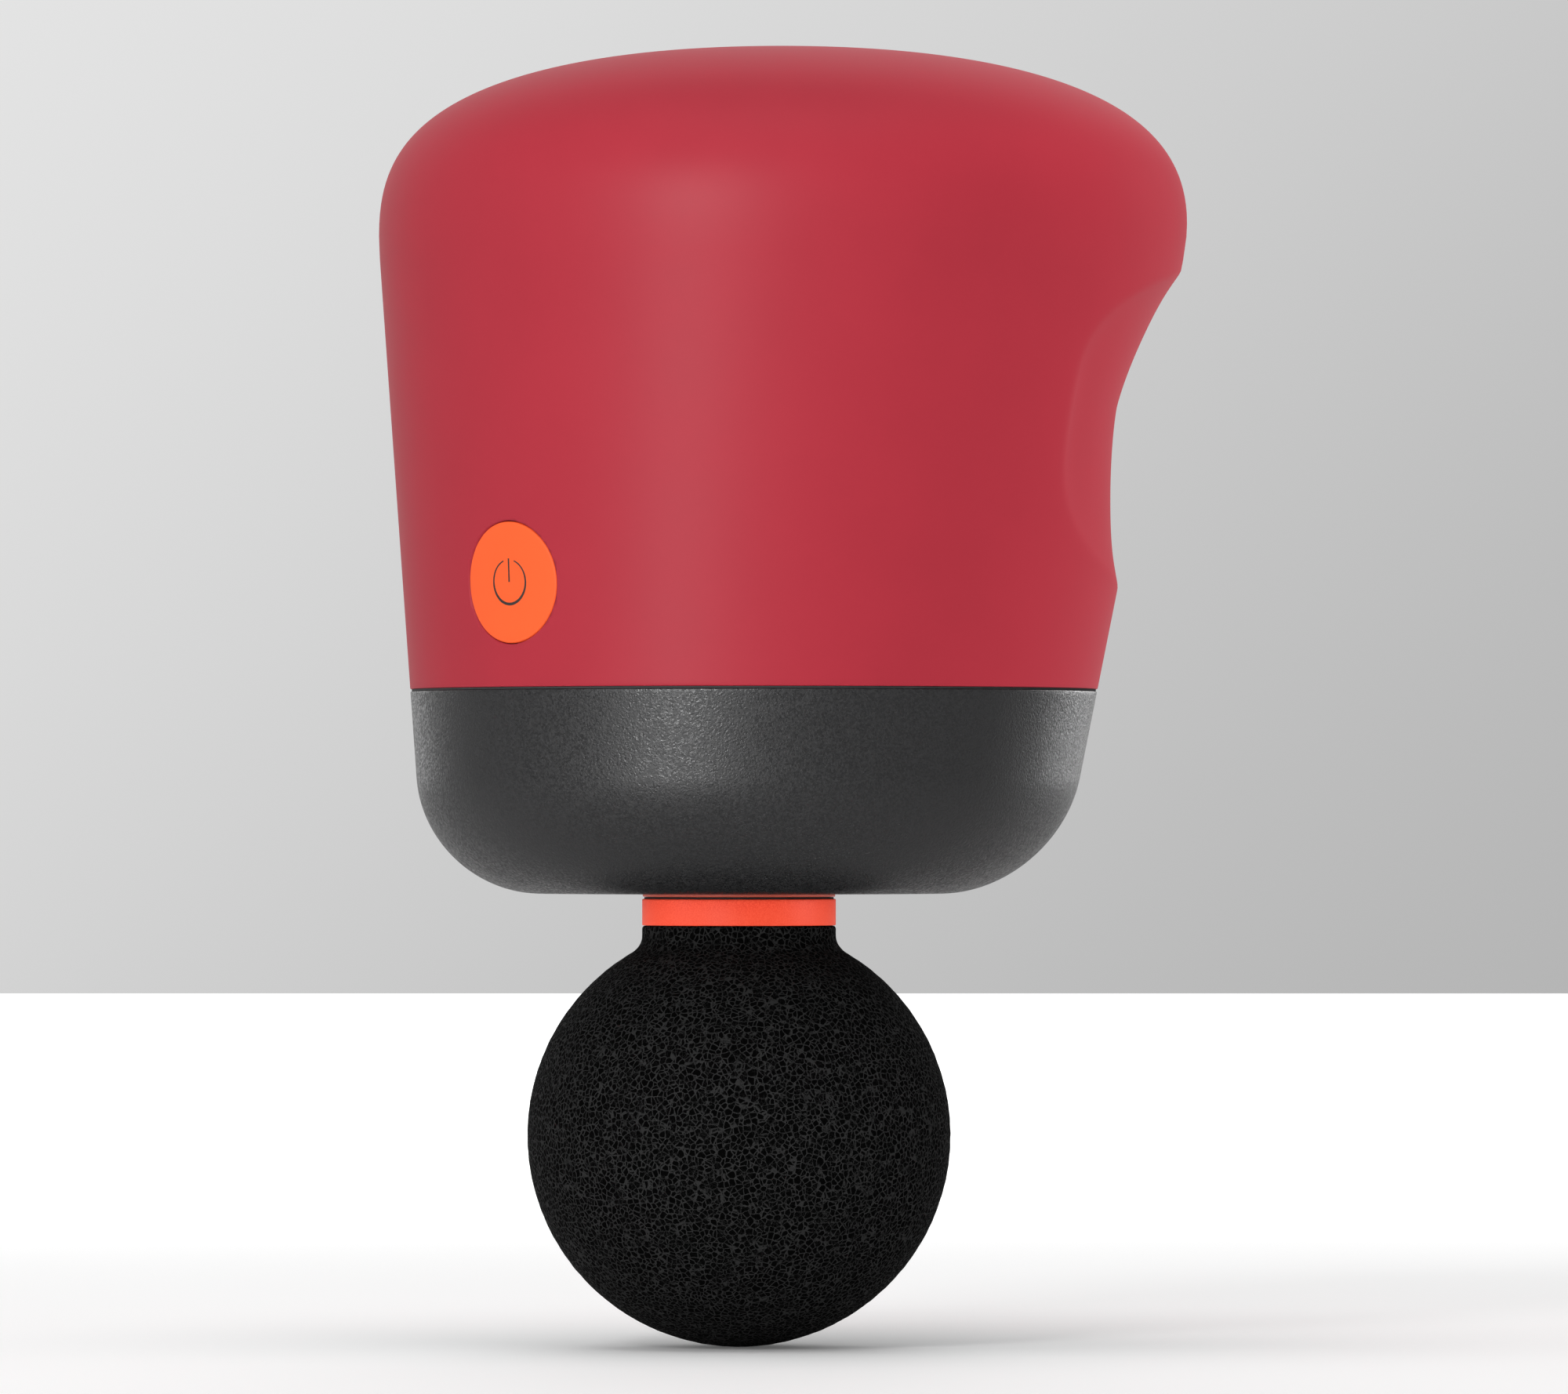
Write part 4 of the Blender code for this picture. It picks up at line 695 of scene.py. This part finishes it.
BUTTON_ORANGE = linear(255, 100, 50)
orange_cap = moulded("orange_button_plastic", BUTTON_ORANGE, 0.5, 0.2 * MM, 0.0012 * MM, 0.015, gloss=0.1)
CAP_EDGE = 0.16 * MM
FLANGE_WIDTH = 1.0 * MM
FLANGE_THICKNESS = 0.7 * MM
NUB_RADIUS = 1.4 * MM
NUB_LENGTH = 0.3 * MM

# Each point is a radius and a depth behind the face.
depths = [((BUTTON_RADIUS - CAP_EDGE) * step / 12, 0) for step in range(13)]
for step in range(1, 6):
    turn = math.pi / 2 * step / 5
    depths.append((BUTTON_RADIUS - CAP_EDGE * (1 - math.sin(turn)), CAP_EDGE * (1 - math.cos(turn))))
nub_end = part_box("power_button")[1].y - button_front
flange_back = nub_end - NUB_LENGTH
flange_front = flange_back - FLANGE_THICKNESS
flange_radius = BUTTON_RADIUS + FLANGE_WIDTH
depths += [(BUTTON_RADIUS, flange_front), (flange_radius, flange_front), (flange_radius, flange_back)]
depths += [(NUB_RADIUS, flange_back), (NUB_RADIUS, nub_end), (0, nub_end)]
cap_shape = spun(depths, 128, "Y", (0, button_front, BUTTON_HEIGHT))
for point in cap_shape.verts:
    sunk = point.co.y - button_front
    if -1e-6 < sunk < CAP_EDGE + 1e-6:
        point.co.y = front_surface(point.co.x, point.co.z) + sunk
bmesh.ops.recalc_face_normals(cap_shape, faces=cap_shape.faces)
button_cap = link_piece("button_cap", cap_shape, orange_cap, 40)
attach(button_cap, "power_button")
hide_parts("power_button")


SIGN_RADIUS = 2.15 * MM
SIGN_LINE = 0.19 * MM
SIGN_THICKNESS = 0.02 * MM
SIGN_LIFT = 0.012 * MM
INNER_LIFT = 0.07 * MM
SIGN_GAP = math.radians(38)


def lay_on_button(shape):
    """Gives a flat sign in the XZ plane its thickness, and bends it on to the button's face."""
    thick = bmesh.ops.extrude_face_region(shape, geom=shape.faces[:])
    behind = [item for item in thick["geom"] if isinstance(item, bmesh.types.BMVert)]
    bmesh.ops.translate(shape, vec=(0, SIGN_THICKNESS, 0), verts=behind)
    for point in shape.verts:
        side, deep, height = point.co.x, point.co.y, point.co.z + BUTTON_HEIGHT
        point.co = (side, front_surface(side, height) - SIGN_LIFT + deep, height)
    bmesh.ops.recalc_face_normals(shape, faces=shape.faces)


sign_ink = moulded("black_sign_ink", (0.008, 0.007, 0.007, 1), 0.6, 0.1 * MM, 0.001 * MM, 0.2)
ring_shape = bmesh.new()
ring_start = [ring_shape.verts.new((0, 0, radius)) for radius in (SIGN_RADIUS, SIGN_RADIUS - SIGN_LINE)]
line = ring_shape.edges.new(ring_start)
bmesh.ops.rotate(ring_shape, matrix=Matrix.Rotation(SIGN_GAP / 2, 3, "Y"), verts=ring_start)
bmesh.ops.spin(
    ring_shape,
    geom=ring_start + [line],
    cent=(0, 0, 0),
    axis=(0, 1, 0),
    angle=2 * math.pi - SIGN_GAP,
    steps=96,
)
# The ring's line is thicker at its foot.
for point in ring_shape.verts:
    if math.hypot(point.co.x, point.co.z) < SIGN_RADIUS - SIGN_LINE / 2:
        point.co.z += INNER_LIFT
lay_on_button(ring_shape)
sign_ring = link_piece("button_sign_ring", ring_shape, sign_ink)
stroke_shape = bmesh.new()
bmesh.ops.create_grid(stroke_shape, x_segments=1, y_segments=12, size=0.5)
bmesh.ops.rotate(stroke_shape, matrix=Matrix.Rotation(math.pi / 2, 3, "X"), verts=stroke_shape.verts)
stroke_size = (SIGN_LINE * 0.9, 1, SIGN_RADIUS + 0.05 * MM)
bmesh.ops.scale(stroke_shape, vec=stroke_size, verts=stroke_shape.verts)
stroke_middle = (0, 0, SIGN_RADIUS / 2 + 0.05 * MM)
bmesh.ops.translate(stroke_shape, vec=stroke_middle, verts=stroke_shape.verts)
lay_on_button(stroke_shape)
sign_stroke = link_piece("button_sign_stroke", stroke_shape, sign_ink)
for sign in (sign_ring, sign_stroke):
    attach(sign, "power_button")


# ------------------------------------------------------------------ nose ring
# A thin orange bush pressed into the opening in the base. Its lip stands just proud of the
# underside and hides the gap round the plunger.


def rounded(profile, radius, steps=4):
    """Rounds every corner of a (radius, height) chain but its two end points."""
    done = [profile[0]]
    for before, corner, after in zip(profile, profile[1:], profile[2:]):
        here = Vector(corner)
        back, ahead = Vector(before) - here, Vector(after) - here
        cut = min(radius, back.length * 0.45, ahead.length * 0.45)
        first, last = here + back.normalized() * cut, here + ahead.normalized() * cut
        for step in range(steps + 1):
            t = step / steps
            done.append(tuple(first * (1 - t) ** 2 + here * 2 * t * (1 - t) + last * t**2))
    return done + [profile[-1]]


def turned_ring(profile, corner, steps):
    """A ring spun from a closed section, with every corner rounded but the one it starts at."""
    shape = spun(rounded([*profile, profile[0]], corner), steps)
    bmesh.ops.remove_doubles(shape, verts=shape.verts, dist=1e-6)
    bmesh.ops.recalc_face_normals(shape, faces=shape.faces)
    return shape


NOSE_RADIUS = 9.1 * MM
NOSE_BORE = 6.3 * MM
NOSE_WALL = 0.9 * MM
NOSE_FOOT = -19.5 * MM
NOSE_FLOOR = -18.4 * MM
RIM_RADIUS = 10.6 * MM
RIM_LOW = -16.7 * MM
RIM_HIGH = -16.1 * MM

nose_profile = [
    (NOSE_BORE, NOSE_FLOOR),
    (NOSE_BORE, NOSE_FOOT),
    (NOSE_RADIUS, NOSE_FOOT),
    (NOSE_RADIUS, RIM_LOW),
    (RIM_RADIUS, RIM_LOW),
    (RIM_RADIUS, RIM_HIGH),
    (NOSE_RADIUS - NOSE_WALL, RIM_HIGH),
    (NOSE_RADIUS - NOSE_WALL, NOSE_FLOOR),
]
orange_nose = moulded("orange_nose_plastic", linear(214, 92, 70), 0.5, 0.15 * MM, 0.003 * MM, 0.05)
nose_lip = link_piece("nose_lip", turned_ring(nose_profile, 0.14 * MM, 128), orange_nose)
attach(nose_lip, "housing")
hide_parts("nose_ring")


# ------------------------------------------------------------------ head collar and core
# The orange core of the massage head: a plug with two sealing rings that pushes up into the
# plunger, a collar below the nose, and a stem that the foam ball is moulded over. A thin rubber
# washer on the collar keeps it from clicking on the nose.


def collar_plastic(name):
    """Orange plastic with painted shade: a little darker towards the top, where it turns under the base."""
    made, shader, place = start_material(name)
    grain = place.noise(0.13 * MM, 2, 0.6)
    low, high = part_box("head_collar")[0].z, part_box("head_collar")[1].z
    # Painted shade: the colour is darker towards the collar's top, where it sits in the base's shadow.
    level = place.axis(2).clamped(low + 0.7 * MM, high)
    base = level.colours(linear(250, 78, 50), linear(240, 66, 44))
    feed(shader, "Base Color", grain.clamped(0.3, 0.7).colours(base, linear(255, 90, 62)))
    feed(shader, "Roughness", 0.42 + grain * 0.12)
    feed(shader, "Normal", grain.bump(0.012 * MM, 0.9))
    shader.inputs["Specular IOR Level"].default_value = 0.12
    return made


orange_collar = collar_plastic("orange_collar_plastic")
collar_low, collar_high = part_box("head_collar")
COLLAR_RADIUS = collar_high.x
COLLAR_BORE = 4.1 * MM
COLLAR_PLATE = 0.8 * MM
COLLAR_WALL = 1.3 * MM
collar_profile = [
    (COLLAR_BORE, collar_high.z - COLLAR_PLATE),
    (COLLAR_BORE, collar_high.z),
    (COLLAR_RADIUS, collar_high.z),
    (COLLAR_RADIUS, collar_low.z),
    (COLLAR_RADIUS - COLLAR_WALL, collar_low.z),
    (COLLAR_RADIUS - COLLAR_WALL, collar_high.z - COLLAR_PLATE),
]
collar = link_piece("collar_ring", turned_ring(collar_profile, 0.12 * MM, 160), orange_collar)
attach(collar, "massage_head")
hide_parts("head_collar")

WASHER_BORE = 6.25 * MM
washer_radius = COLLAR_RADIUS - 0.2 * MM
washer_low = collar_high.z + 0.01 * MM
washer_high = washer_low + 0.16 * MM
washer_profile = [
    (WASHER_BORE, washer_low),
    (washer_radius, washer_low),
    (washer_radius, washer_high),
    (WASHER_BORE, washer_high),
]
washer = link_piece("collar_washer", spun(washer_profile, 128, closed=True), black_rubber)
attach(washer, "massage_head")
light_only(low_left, collar, nose_lip)
light_only(low_right, collar, nose_lip)

core_low, core_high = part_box("head_core")
PLUG_RADIUS = 3.75 * MM
PLUG_EDGE = 0.5 * MM
GLAND_RADIUS = 2.9 * MM
GLAND_HALF = 0.5 * MM
CORE_GAP = 0.3 * MM
STEM_RADIUS = 6.9 * MM
STEM_TIP = 2.9 * MM

ring_boxes = [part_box("plug_oring_1"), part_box("plug_oring_2")]
ring_levels = [(low.z + high.z) / 2 for low, high in ring_boxes]
core_profile = [
    (0, core_high.z),
    (PLUG_RADIUS - PLUG_EDGE, core_high.z),
    (PLUG_RADIUS, core_high.z - PLUG_EDGE),
]
for level in ring_levels:
    core_profile += [(PLUG_RADIUS, level + GLAND_HALF), (GLAND_RADIUS, level + GLAND_HALF)]
    core_profile += [(GLAND_RADIUS, level - GLAND_HALF), (PLUG_RADIUS, level - GLAND_HALF)]
flange_radius = COLLAR_RADIUS - COLLAR_WALL - CORE_GAP
flange_top = collar_high.z - COLLAR_PLATE - CORE_GAP
flange_foot = collar_low.z + 0.2 * MM
core_profile += [
    (PLUG_RADIUS, flange_top),
    (flange_radius, flange_top),
    (flange_radius, flange_foot),
    (STEM_RADIUS, flange_foot),
    (STEM_RADIUS, core_low.z + 4 * MM),
    (STEM_RADIUS - 1.2 * MM, core_low.z + 1.2 * MM),
    (STEM_TIP, core_low.z),
    (0, core_low.z),
]
core_plastic = moulded("orange_core_plastic", linear(238, 84, 56), 0.45, 0.2 * MM, 0.003 * MM, 0.03)
core = link_piece("head_plug", spun(rounded(core_profile, 0.15 * MM, 3), 96), core_plastic)
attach(core, "massage_head")
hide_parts("head_core")

RING_MIDDLE = 3.4 * MM
RING_THICKNESS = 0.8 * MM
for number, level in enumerate(ring_levels, 1):
    section = []
    for step in range(20):
        turn = 2 * math.pi * step / 20
        out = RING_THICKNESS / 2 * math.cos(turn)
        section.append((RING_MIDDLE + out, level + RING_THICKNESS / 2 * math.sin(turn)))
    seal = link_piece(f"plug_seal_{number}", spun(section, 96, closed=True), black_rubber)
    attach(seal, "massage_head")
    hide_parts(f"plug_oring_{number}")


# ------------------------------------------------------------------ foam ball
# The massage head's ball: black open-cell foam moulded over the core's stem, with a short neck
# that flares out from the collar. Its skin is a web of fine strands round open cells, which painted shade
# makes almost black.

BALL_RADIUS = 20 * MM
BALL_CENTRE = FLOOR_LEVEL + BALL_RADIUS
BALL_ROWS = 210
BALL_STEPS = 400
NECK_FILLET = 2.0 * MM
NECK_EDGE = 0.3 * MM
POCKET_RADIUS = 7.2 * MM
CELL_SIZE = 0.5 * MM
CELL_DEPTH = 0.028 * MM
neck_top = collar_low.z - 0.02 * MM


def open_foam(name):
    """Open-cell foam: strands at the cell edges stand out dark grey, and the open cells are black foam
    darkened further with painted shade.
    """
    made, shader, place = start_material(name)
    cloud = {"Vector": place, "Scale": 1 / (0.9 * MM), "Detail": 1.0}
    wander = place.node("ShaderNodeTexNoise", {}, cloud, 1)
    pushed = wander.vector("MULTIPLY_ADD", (0.45 * MM,) * 3, place)
    edges = {"feature": "DISTANCE_TO_EDGE"}
    strand = 1 - pushed.cells(0.54 * MM, edges).clamped(0.02, 0.17)
    thread = 1 - pushed.cells(0.31 * MM, edges).clamped(0.02, 0.15)
    patch = place.noise(1.1 * MM, 2).clamped(0.35, 0.65)
    web = (strand * (0.6 + patch * 0.5) + thread * (0.5 - patch * 0.35)).clamped(0.15, 1.0)
    # Painted shade: the open cells' near-zero colour is shade in the pores; the strands keep the black
    # foam's own dark grey.
    feed(shader, "Base Color", web.colours((0.0004, 0.0004, 0.0004, 1), linear(45, 45, 45)))
    feed(shader, "Roughness", 0.98 - web * 0.25)
    feed(shader, "Normal", web.bump(0.16 * MM))
    shader.inputs["Specular IOR Level"].default_value = 0.03
    return made


# The neck's fillet is centred outside the collar's radius, where it just touches the ball.
fillet_radius = COLLAR_RADIUS + NECK_FILLET
fillet_height = BALL_CENTRE + math.sqrt((BALL_RADIUS + NECK_FILLET) ** 2 - fillet_radius**2)
touch = math.atan2(fillet_radius, fillet_height - BALL_CENTRE)
ball_profile = [(POCKET_RADIUS, neck_top), (COLLAR_RADIUS - NECK_EDGE - 0.05 * MM, neck_top)]
for step in range(1, 5):
    turn = math.pi / 2 * step / 4
    radius = COLLAR_RADIUS - NECK_EDGE * (1 - math.sin(turn))
    ball_profile.append((radius, neck_top - NECK_EDGE * (1 - math.cos(turn))))
for step in range(13):
    turn = (math.pi / 2 - touch) * step / 12
    radius = fillet_radius - NECK_FILLET * math.cos(turn)
    ball_profile.append((radius, fillet_height - NECK_FILLET * math.sin(turn)))
for step in range(1, BALL_ROWS):
    turn = touch + (math.pi - touch) * step / BALL_ROWS
    ball_profile.append((BALL_RADIUS * math.sin(turn), BALL_CENTRE + BALL_RADIUS * math.cos(turn)))
ball_profile.append((0, BALL_CENTRE - BALL_RADIUS))
ball_shape = spun(ball_profile, BALL_STEPS)
for point in ball_shape.verts:
    # The cut skin of the foam is rough: cells a few tenths of a millimetre across open at its surface.
    away = point.co - Vector((0, 0, BALL_CENTRE))
    if away.length > BALL_RADIUS - 1 * MM and point.co.z < neck_top - 1 * MM:
        x, y, z = point.co / CELL_SIZE
        rough = math.sin(x * 2.1 + math.sin(y * 1.7)) + math.sin(y * 2.3 + math.sin(z * 1.9))
        rough += math.sin(z * 2.2 + math.sin(x * 1.6))
        point.co -= away.normalized() * CELL_DEPTH * (1 + rough / 3)
pocket_profile = [
    (POCKET_RADIUS, neck_top),
    (POCKET_RADIUS, core_low.z + 4 * MM),
    (POCKET_RADIUS - 1.2 * MM, core_low.z + 1.0 * MM),
    (POCKET_RADIUS - 4 * MM, core_low.z - 0.3 * MM),
    (0, core_low.z - 0.3 * MM),
]
join_shapes(ball_shape, spun(pocket_profile, BALL_STEPS))
bmesh.ops.recalc_face_normals(ball_shape, faces=ball_shape.faces)
ball = link_piece("foam_ball_skin", ball_shape, open_foam("black_open_foam"), 60)
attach(ball, "massage_head")
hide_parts("foam_ball")


# ------------------------------------------------------------------ plunger
# A turned aluminium sleeve that slides in the nose. The head's plug pushes up into its socket,
# and the crank's yoke is fixed in its top.


def turned_metal(name, colour, rough, axis=2, line=0.09 * MM):
    """Metal from the lathe: fine rings round the axis, with a soft uneven polish."""
    made, shader, place = start_material(name)
    along = place.axis(axis)
    rings = place.node("ShaderNodeCombineXYZ", {}, {2: along}).noise(line, 2, 0.5)
    cloud = place.noise(3 * MM, 2)
    pale = tuple(min(1, channel * 1.12) for channel in colour[:3]) + (1,)
    feed(shader, "Base Color", (rings * 0.6 + cloud * 0.4).clamped(0.3, 0.7).colours(colour, pale))
    feed(shader, "Roughness", rough - 0.05 + rings * 0.1 + cloud * 0.06)
    feed(shader, "Normal", rings.bump(0.004 * MM, 0.8))
    shader.inputs["Metallic"].default_value = 1.0
    return made


bright_aluminium = turned_metal("turned_aluminium", (0.62, 0.62, 0.64, 1), 0.3)
sleeve_low, sleeve_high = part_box("plunger_sleeve")
SLEEVE_RADIUS = 6 * MM
SLEEVE_EDGE = 0.3 * MM
SOCKET_RADIUS = 4 * MM
SOCKET_DEPTH = 16.2 * MM
CHAMFER = 0.5 * MM
YOKE_BORE = 3.3 * MM
socket_top = sleeve_low.z + SOCKET_DEPTH
sleeve_profile = [
    (0, socket_top),
    (SOCKET_RADIUS, socket_top),
    (SOCKET_RADIUS, sleeve_low.z + CHAMFER),
    (SOCKET_RADIUS + CHAMFER, sleeve_low.z),
    (SLEEVE_RADIUS - SLEEVE_EDGE, sleeve_low.z),
    (SLEEVE_RADIUS, sleeve_low.z + SLEEVE_EDGE),
    (SLEEVE_RADIUS, sleeve_high.z - CHAMFER),
    (SLEEVE_RADIUS - CHAMFER, sleeve_high.z),
    (YOKE_BORE, sleeve_high.z),
    (YOKE_BORE, socket_top + 2 * MM),
    (0, socket_top + 2 * MM),
]
sleeve = link_piece("plunger_tube", spun(rounded(sleeve_profile, 0.1 * MM, 2), 96), bright_aluminium)
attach(sleeve, "plunger")
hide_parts("plunger_sleeve")
ivory_plastic = moulded("ivory_bearing_plastic", (0.72, 0.69, 0.62, 1), 0.5, 0.3 * MM, 0.004 * MM)
refinish(ivory_plastic, "yoke", "guide_bushing")


# ------------------------------------------------------------------ housing screws
# Three zinc-plated pan-head screws in the base's recesses, each with a cross recess, hold the
# drive frame to the base through rubber mounts.

plated_steel = turned_metal("zinc_plated_steel", (0.36, 0.36, 0.37, 1), 0.34, 2, 0.2 * MM)
HEAD_RADIUS = 2.5 * MM
HEAD_HEIGHT = 0.9 * MM
THREAD_RADIUS = 1.25 * MM
CROSS_SIZE = (2.6 * MM, 0.55 * MM, 1.2 * MM)
CROSS_TURN = 0.4
for number, (x, y) in enumerate(screw_places):
    name = f"housing_screw_{number + 1}"
    low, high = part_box(name)
    head_top = low.z + HEAD_HEIGHT
    screw_profile = [
        (0, low.z + 0.04 * MM),
        (1.6 * MM, low.z + 0.07 * MM),
        (HEAD_RADIUS, low.z + 0.3 * MM),
        (HEAD_RADIUS, head_top),
        (THREAD_RADIUS, head_top),
        (THREAD_RADIUS, high.z),
        (0, high.z),
    ]
    screw_shape = spun(rounded(screw_profile, 0.15 * MM, 3), 64, centre=(x, y, 0))
    screw = link_piece(f"cross_screw_{number + 1}", screw_shape, plated_steel)
    for turn in (0, math.pi / 2):
        cross = bmesh.new()
        bmesh.ops.create_cube(cross, size=1)
        bmesh.ops.scale(cross, vec=CROSS_SIZE, verts=cross.verts)
        round_axis = Matrix.Rotation(turn + CROSS_TURN * number, 3, "Z")
        bmesh.ops.rotate(cross, matrix=round_axis, verts=cross.verts)
        bmesh.ops.translate(cross, vec=(x, y, low.z), verts=cross.verts)
        cut_with(screw, link_piece("cross_slot", cross, plated_steel))
    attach(screw, "housing")
    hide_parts(name)


# ------------------------------------------------------------------ charging socket
# A stamped steel shell round a thin tongue with gold contacts, set flush in the slot at the back
# of the base and soldered to its own small board.

stamped_steel = turned_metal("stamped_steel", (0.6, 0.6, 0.62, 1), 0.28, 1, 0.3 * MM)
PORT_WALL = 0.32 * MM
PORT_FLOOR = 0.8 * MM
CORNER_SHARE = 0.98
half_wide = shell_high.x
half_tall = (shell_high.z - shell_low.z) / 2
port_shape = oval_prism(half_wide, half_tall, half_tall * CORNER_SHARE, shell_low.y, shell_high.y)
port = link_piece("socket_shell", port_shape, stamped_steel)
half_wide -= PORT_WALL
half_tall -= PORT_WALL
hollow_ends = (shell_low.y + PORT_FLOOR, shell_high.y + MM)
hollow = oval_prism(half_wide, half_tall, half_tall * CORNER_SHARE, *hollow_ends)
cut_with(port, link_piece("socket_hollow", hollow, stamped_steel))
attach(port, "housing")
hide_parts("charge_port_shell")


def contact_tongue(name):
    """Black plastic with a row of thin gold contacts across it, on both faces."""
    made, shader, place = start_material(name)
    pitch = (place.axis(0) / (0.5 * MM) + 50.25).math("FRACT")
    bar = 1 - abs(pitch - 0.5).clamped(0.22, 0.26)
    gold = bar * abs(place.axis(2) - PORT_LEVEL).clamped(0.2 * MM, 0.22 * MM)
    feed(shader, "Base Color", gold.colours((0.015, 0.015, 0.016, 1), (0.8, 0.56, 0.2, 1)))
    feed(shader, "Metallic", gold)
    feed(shader, "Roughness", 0.5 - gold * 0.25)
    return made


refinish(contact_tongue("contact_tongue_plastic"), "charge_port_tongue")


# ------------------------------------------------------------------ drive frame and motor
# A die-cast frame carries the guide barrel and a flat outrunner motor: a fixed core with copper
# coils inside a steel bell with magnets. The motor's shaft turns the crank wheel.

cast_metal = moulded("die_cast_aluminium", (0.5, 0.5, 0.52, 1), 0.48, 0.3 * MM, 0.02 * MM, 0.12)
cast_metal.node_tree.nodes["Principled BSDF"].inputs["Metallic"].default_value = 1.0
refinish(cast_metal, "drive_frame", "motor_mount")
shaft_steel = turned_metal("ground_steel", (0.66, 0.66, 0.68, 1), 0.2, 1)
refinish(shaft_steel, "motor_shaft", "crank_roller", "motor_bearing_front", "motor_bearing_rear")
refinish(turned_metal("faced_aluminium", (0.6, 0.6, 0.62, 1), 0.32, 1), "crank_wheel")
refinish(turned_metal("dark_plated_bell", (0.17, 0.17, 0.18, 1), 0.33, 1, 0.15 * MM), "rotor_bell")
refinish(turned_metal("laminated_steel", (0.24, 0.24, 0.26, 1), 0.42, 1, 0.35 * MM), "stator_core")
refinish(turned_metal("nickel_magnet", (0.3, 0.3, 0.3, 1), 0.25, 1), "magnet_ring")


def wound_copper(name):
    """Enamelled copper wire laid side by side, with painted shade in the grooves between the turns."""
    made, shader, place = start_material(name)
    centre = (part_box("stator_core")[0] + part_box("stator_core")[1]) / 2
    from_axis = place.vector("SUBTRACT", centre)
    sideways, up = from_axis.axis(0), from_axis.axis(2)
    distance = (sideways * sideways + up * up) ** 0.5
    crest = 1 - abs((distance / (0.3 * MM)).math("FRACT") - 0.5) * 2
    # Painted shade: the copper colour goes almost black in the grooves between the wires and is bright at
    # their crests.
    copper_with_painted_shade = crest.clamped(0.05, 0.6).colours((0.12, 0.03, 0.01, 1), (0.72, 0.26, 0.09, 1))
    feed(shader, "Base Color", copper_with_painted_shade)
    feed(shader, "Roughness", 0.42 - crest * 0.14)
    feed(shader, "Normal", crest.bump(0.1 * MM, 0.8))
    shader.inputs["Metallic"].default_value = 0.9
    return made


refinish(wound_copper("enamelled_copper"), "winding_front", "winding_rear")


# ------------------------------------------------------------------ boards and switch
# The main board stands behind the button with its switch, chips and connectors, and a small
# board carries the charging socket. Both are green with pale printed pads.

TRACKS_PER_METRE = 260
PADS_PER_METRE = 420


def circuit_board(name):
    """Green solder mask over copper tracks, with a scatter of tinned pads."""
    made, shader, place = start_material(name)
    bricks = {"Vector": place, "Scale": TRACKS_PER_METRE, "Mortar Size": 0.03}
    tracks = place.node("ShaderNodeTexBrick", {}, bricks, 1)
    pads = {"feature": "F1", "distance": "CHEBYCHEV"}
    tinned = 1 - place.cells(1 / PADS_PER_METRE, pads).clamped(0.13, 0.16)
    mask = tracks.colours((0.012, 0.07, 0.032, 1), (0.02, 0.12, 0.055, 1))
    feed(shader, "Base Color", tinned.colours(mask, (0.62, 0.6, 0.55, 1)))
    feed(shader, "Roughness", 0.34 + tinned * 0.1)
    feed(shader, "Metallic", tinned * 0.8)
    return made


refinish(circuit_board("green_circuit_board"), "main_board", "charge_board")
black_part = moulded("black_part_plastic", (0.022, 0.022, 0.024, 1), 0.5, 0.12 * MM, 0.006 * MM, 0.15)
refinish(black_part, "control_chip", "driver_chip", "inductor", "switch_body", "cell_cradle", "cell_strap")
refinish(moulded("red_stem_plastic", (0.5, 0.03, 0.02, 1), 0.5), "switch_stem")
cream_plastic = moulded("cream_connector_plastic", (0.74, 0.7, 0.6, 1), 0.5)
refinish(cream_plastic, "battery_connector", "motor_connector")
refinish(rubbery("clear_silicone", (0.62, 0.62, 0.6, 1), 0.5), "button_cushion")


# ------------------------------------------------------------------ cells and wires
# Two lithium cells lie in a cradle above the motor under a black strap, with nickel tabs on
# their ends. Thin insulated wires run to the main board.

shrink_wrap = moulded("blue_shrink_wrap", (0.03, 0.14, 0.36, 1), 0.34, 0.6 * MM, 0.01 * MM, 0.08, 0.3)
refinish(shrink_wrap, "cell_front", "cell_rear")
nickel_strip = turned_metal("nickel_strip", (0.66, 0.65, 0.62, 1), 0.28, 1, 0.2 * MM)
refinish(nickel_strip, "cell_tab_left", "cell_tab_right")
insulation = {
    "yellow_insulation": ((0.7, 0.5, 0.02, 1), ["motor_wire_1"]),
    "blue_insulation": ((0.02, 0.1, 0.42, 1), ["motor_wire_2"]),
    "green_insulation": ((0.02, 0.3, 0.07, 1), ["motor_wire_3"]),
    "red_insulation": ((0.55, 0.02, 0.02, 1), ["cell_wire_plus"]),
    "black_insulation": ((0.015, 0.015, 0.016, 1), ["cell_wire_minus", "charge_lead"]),
}
for name, (colour, wires) in insulation.items():
    refinish(moulded(name, colour, 0.4, 0.4 * MM, 0.004 * MM, 0.06), *wires)
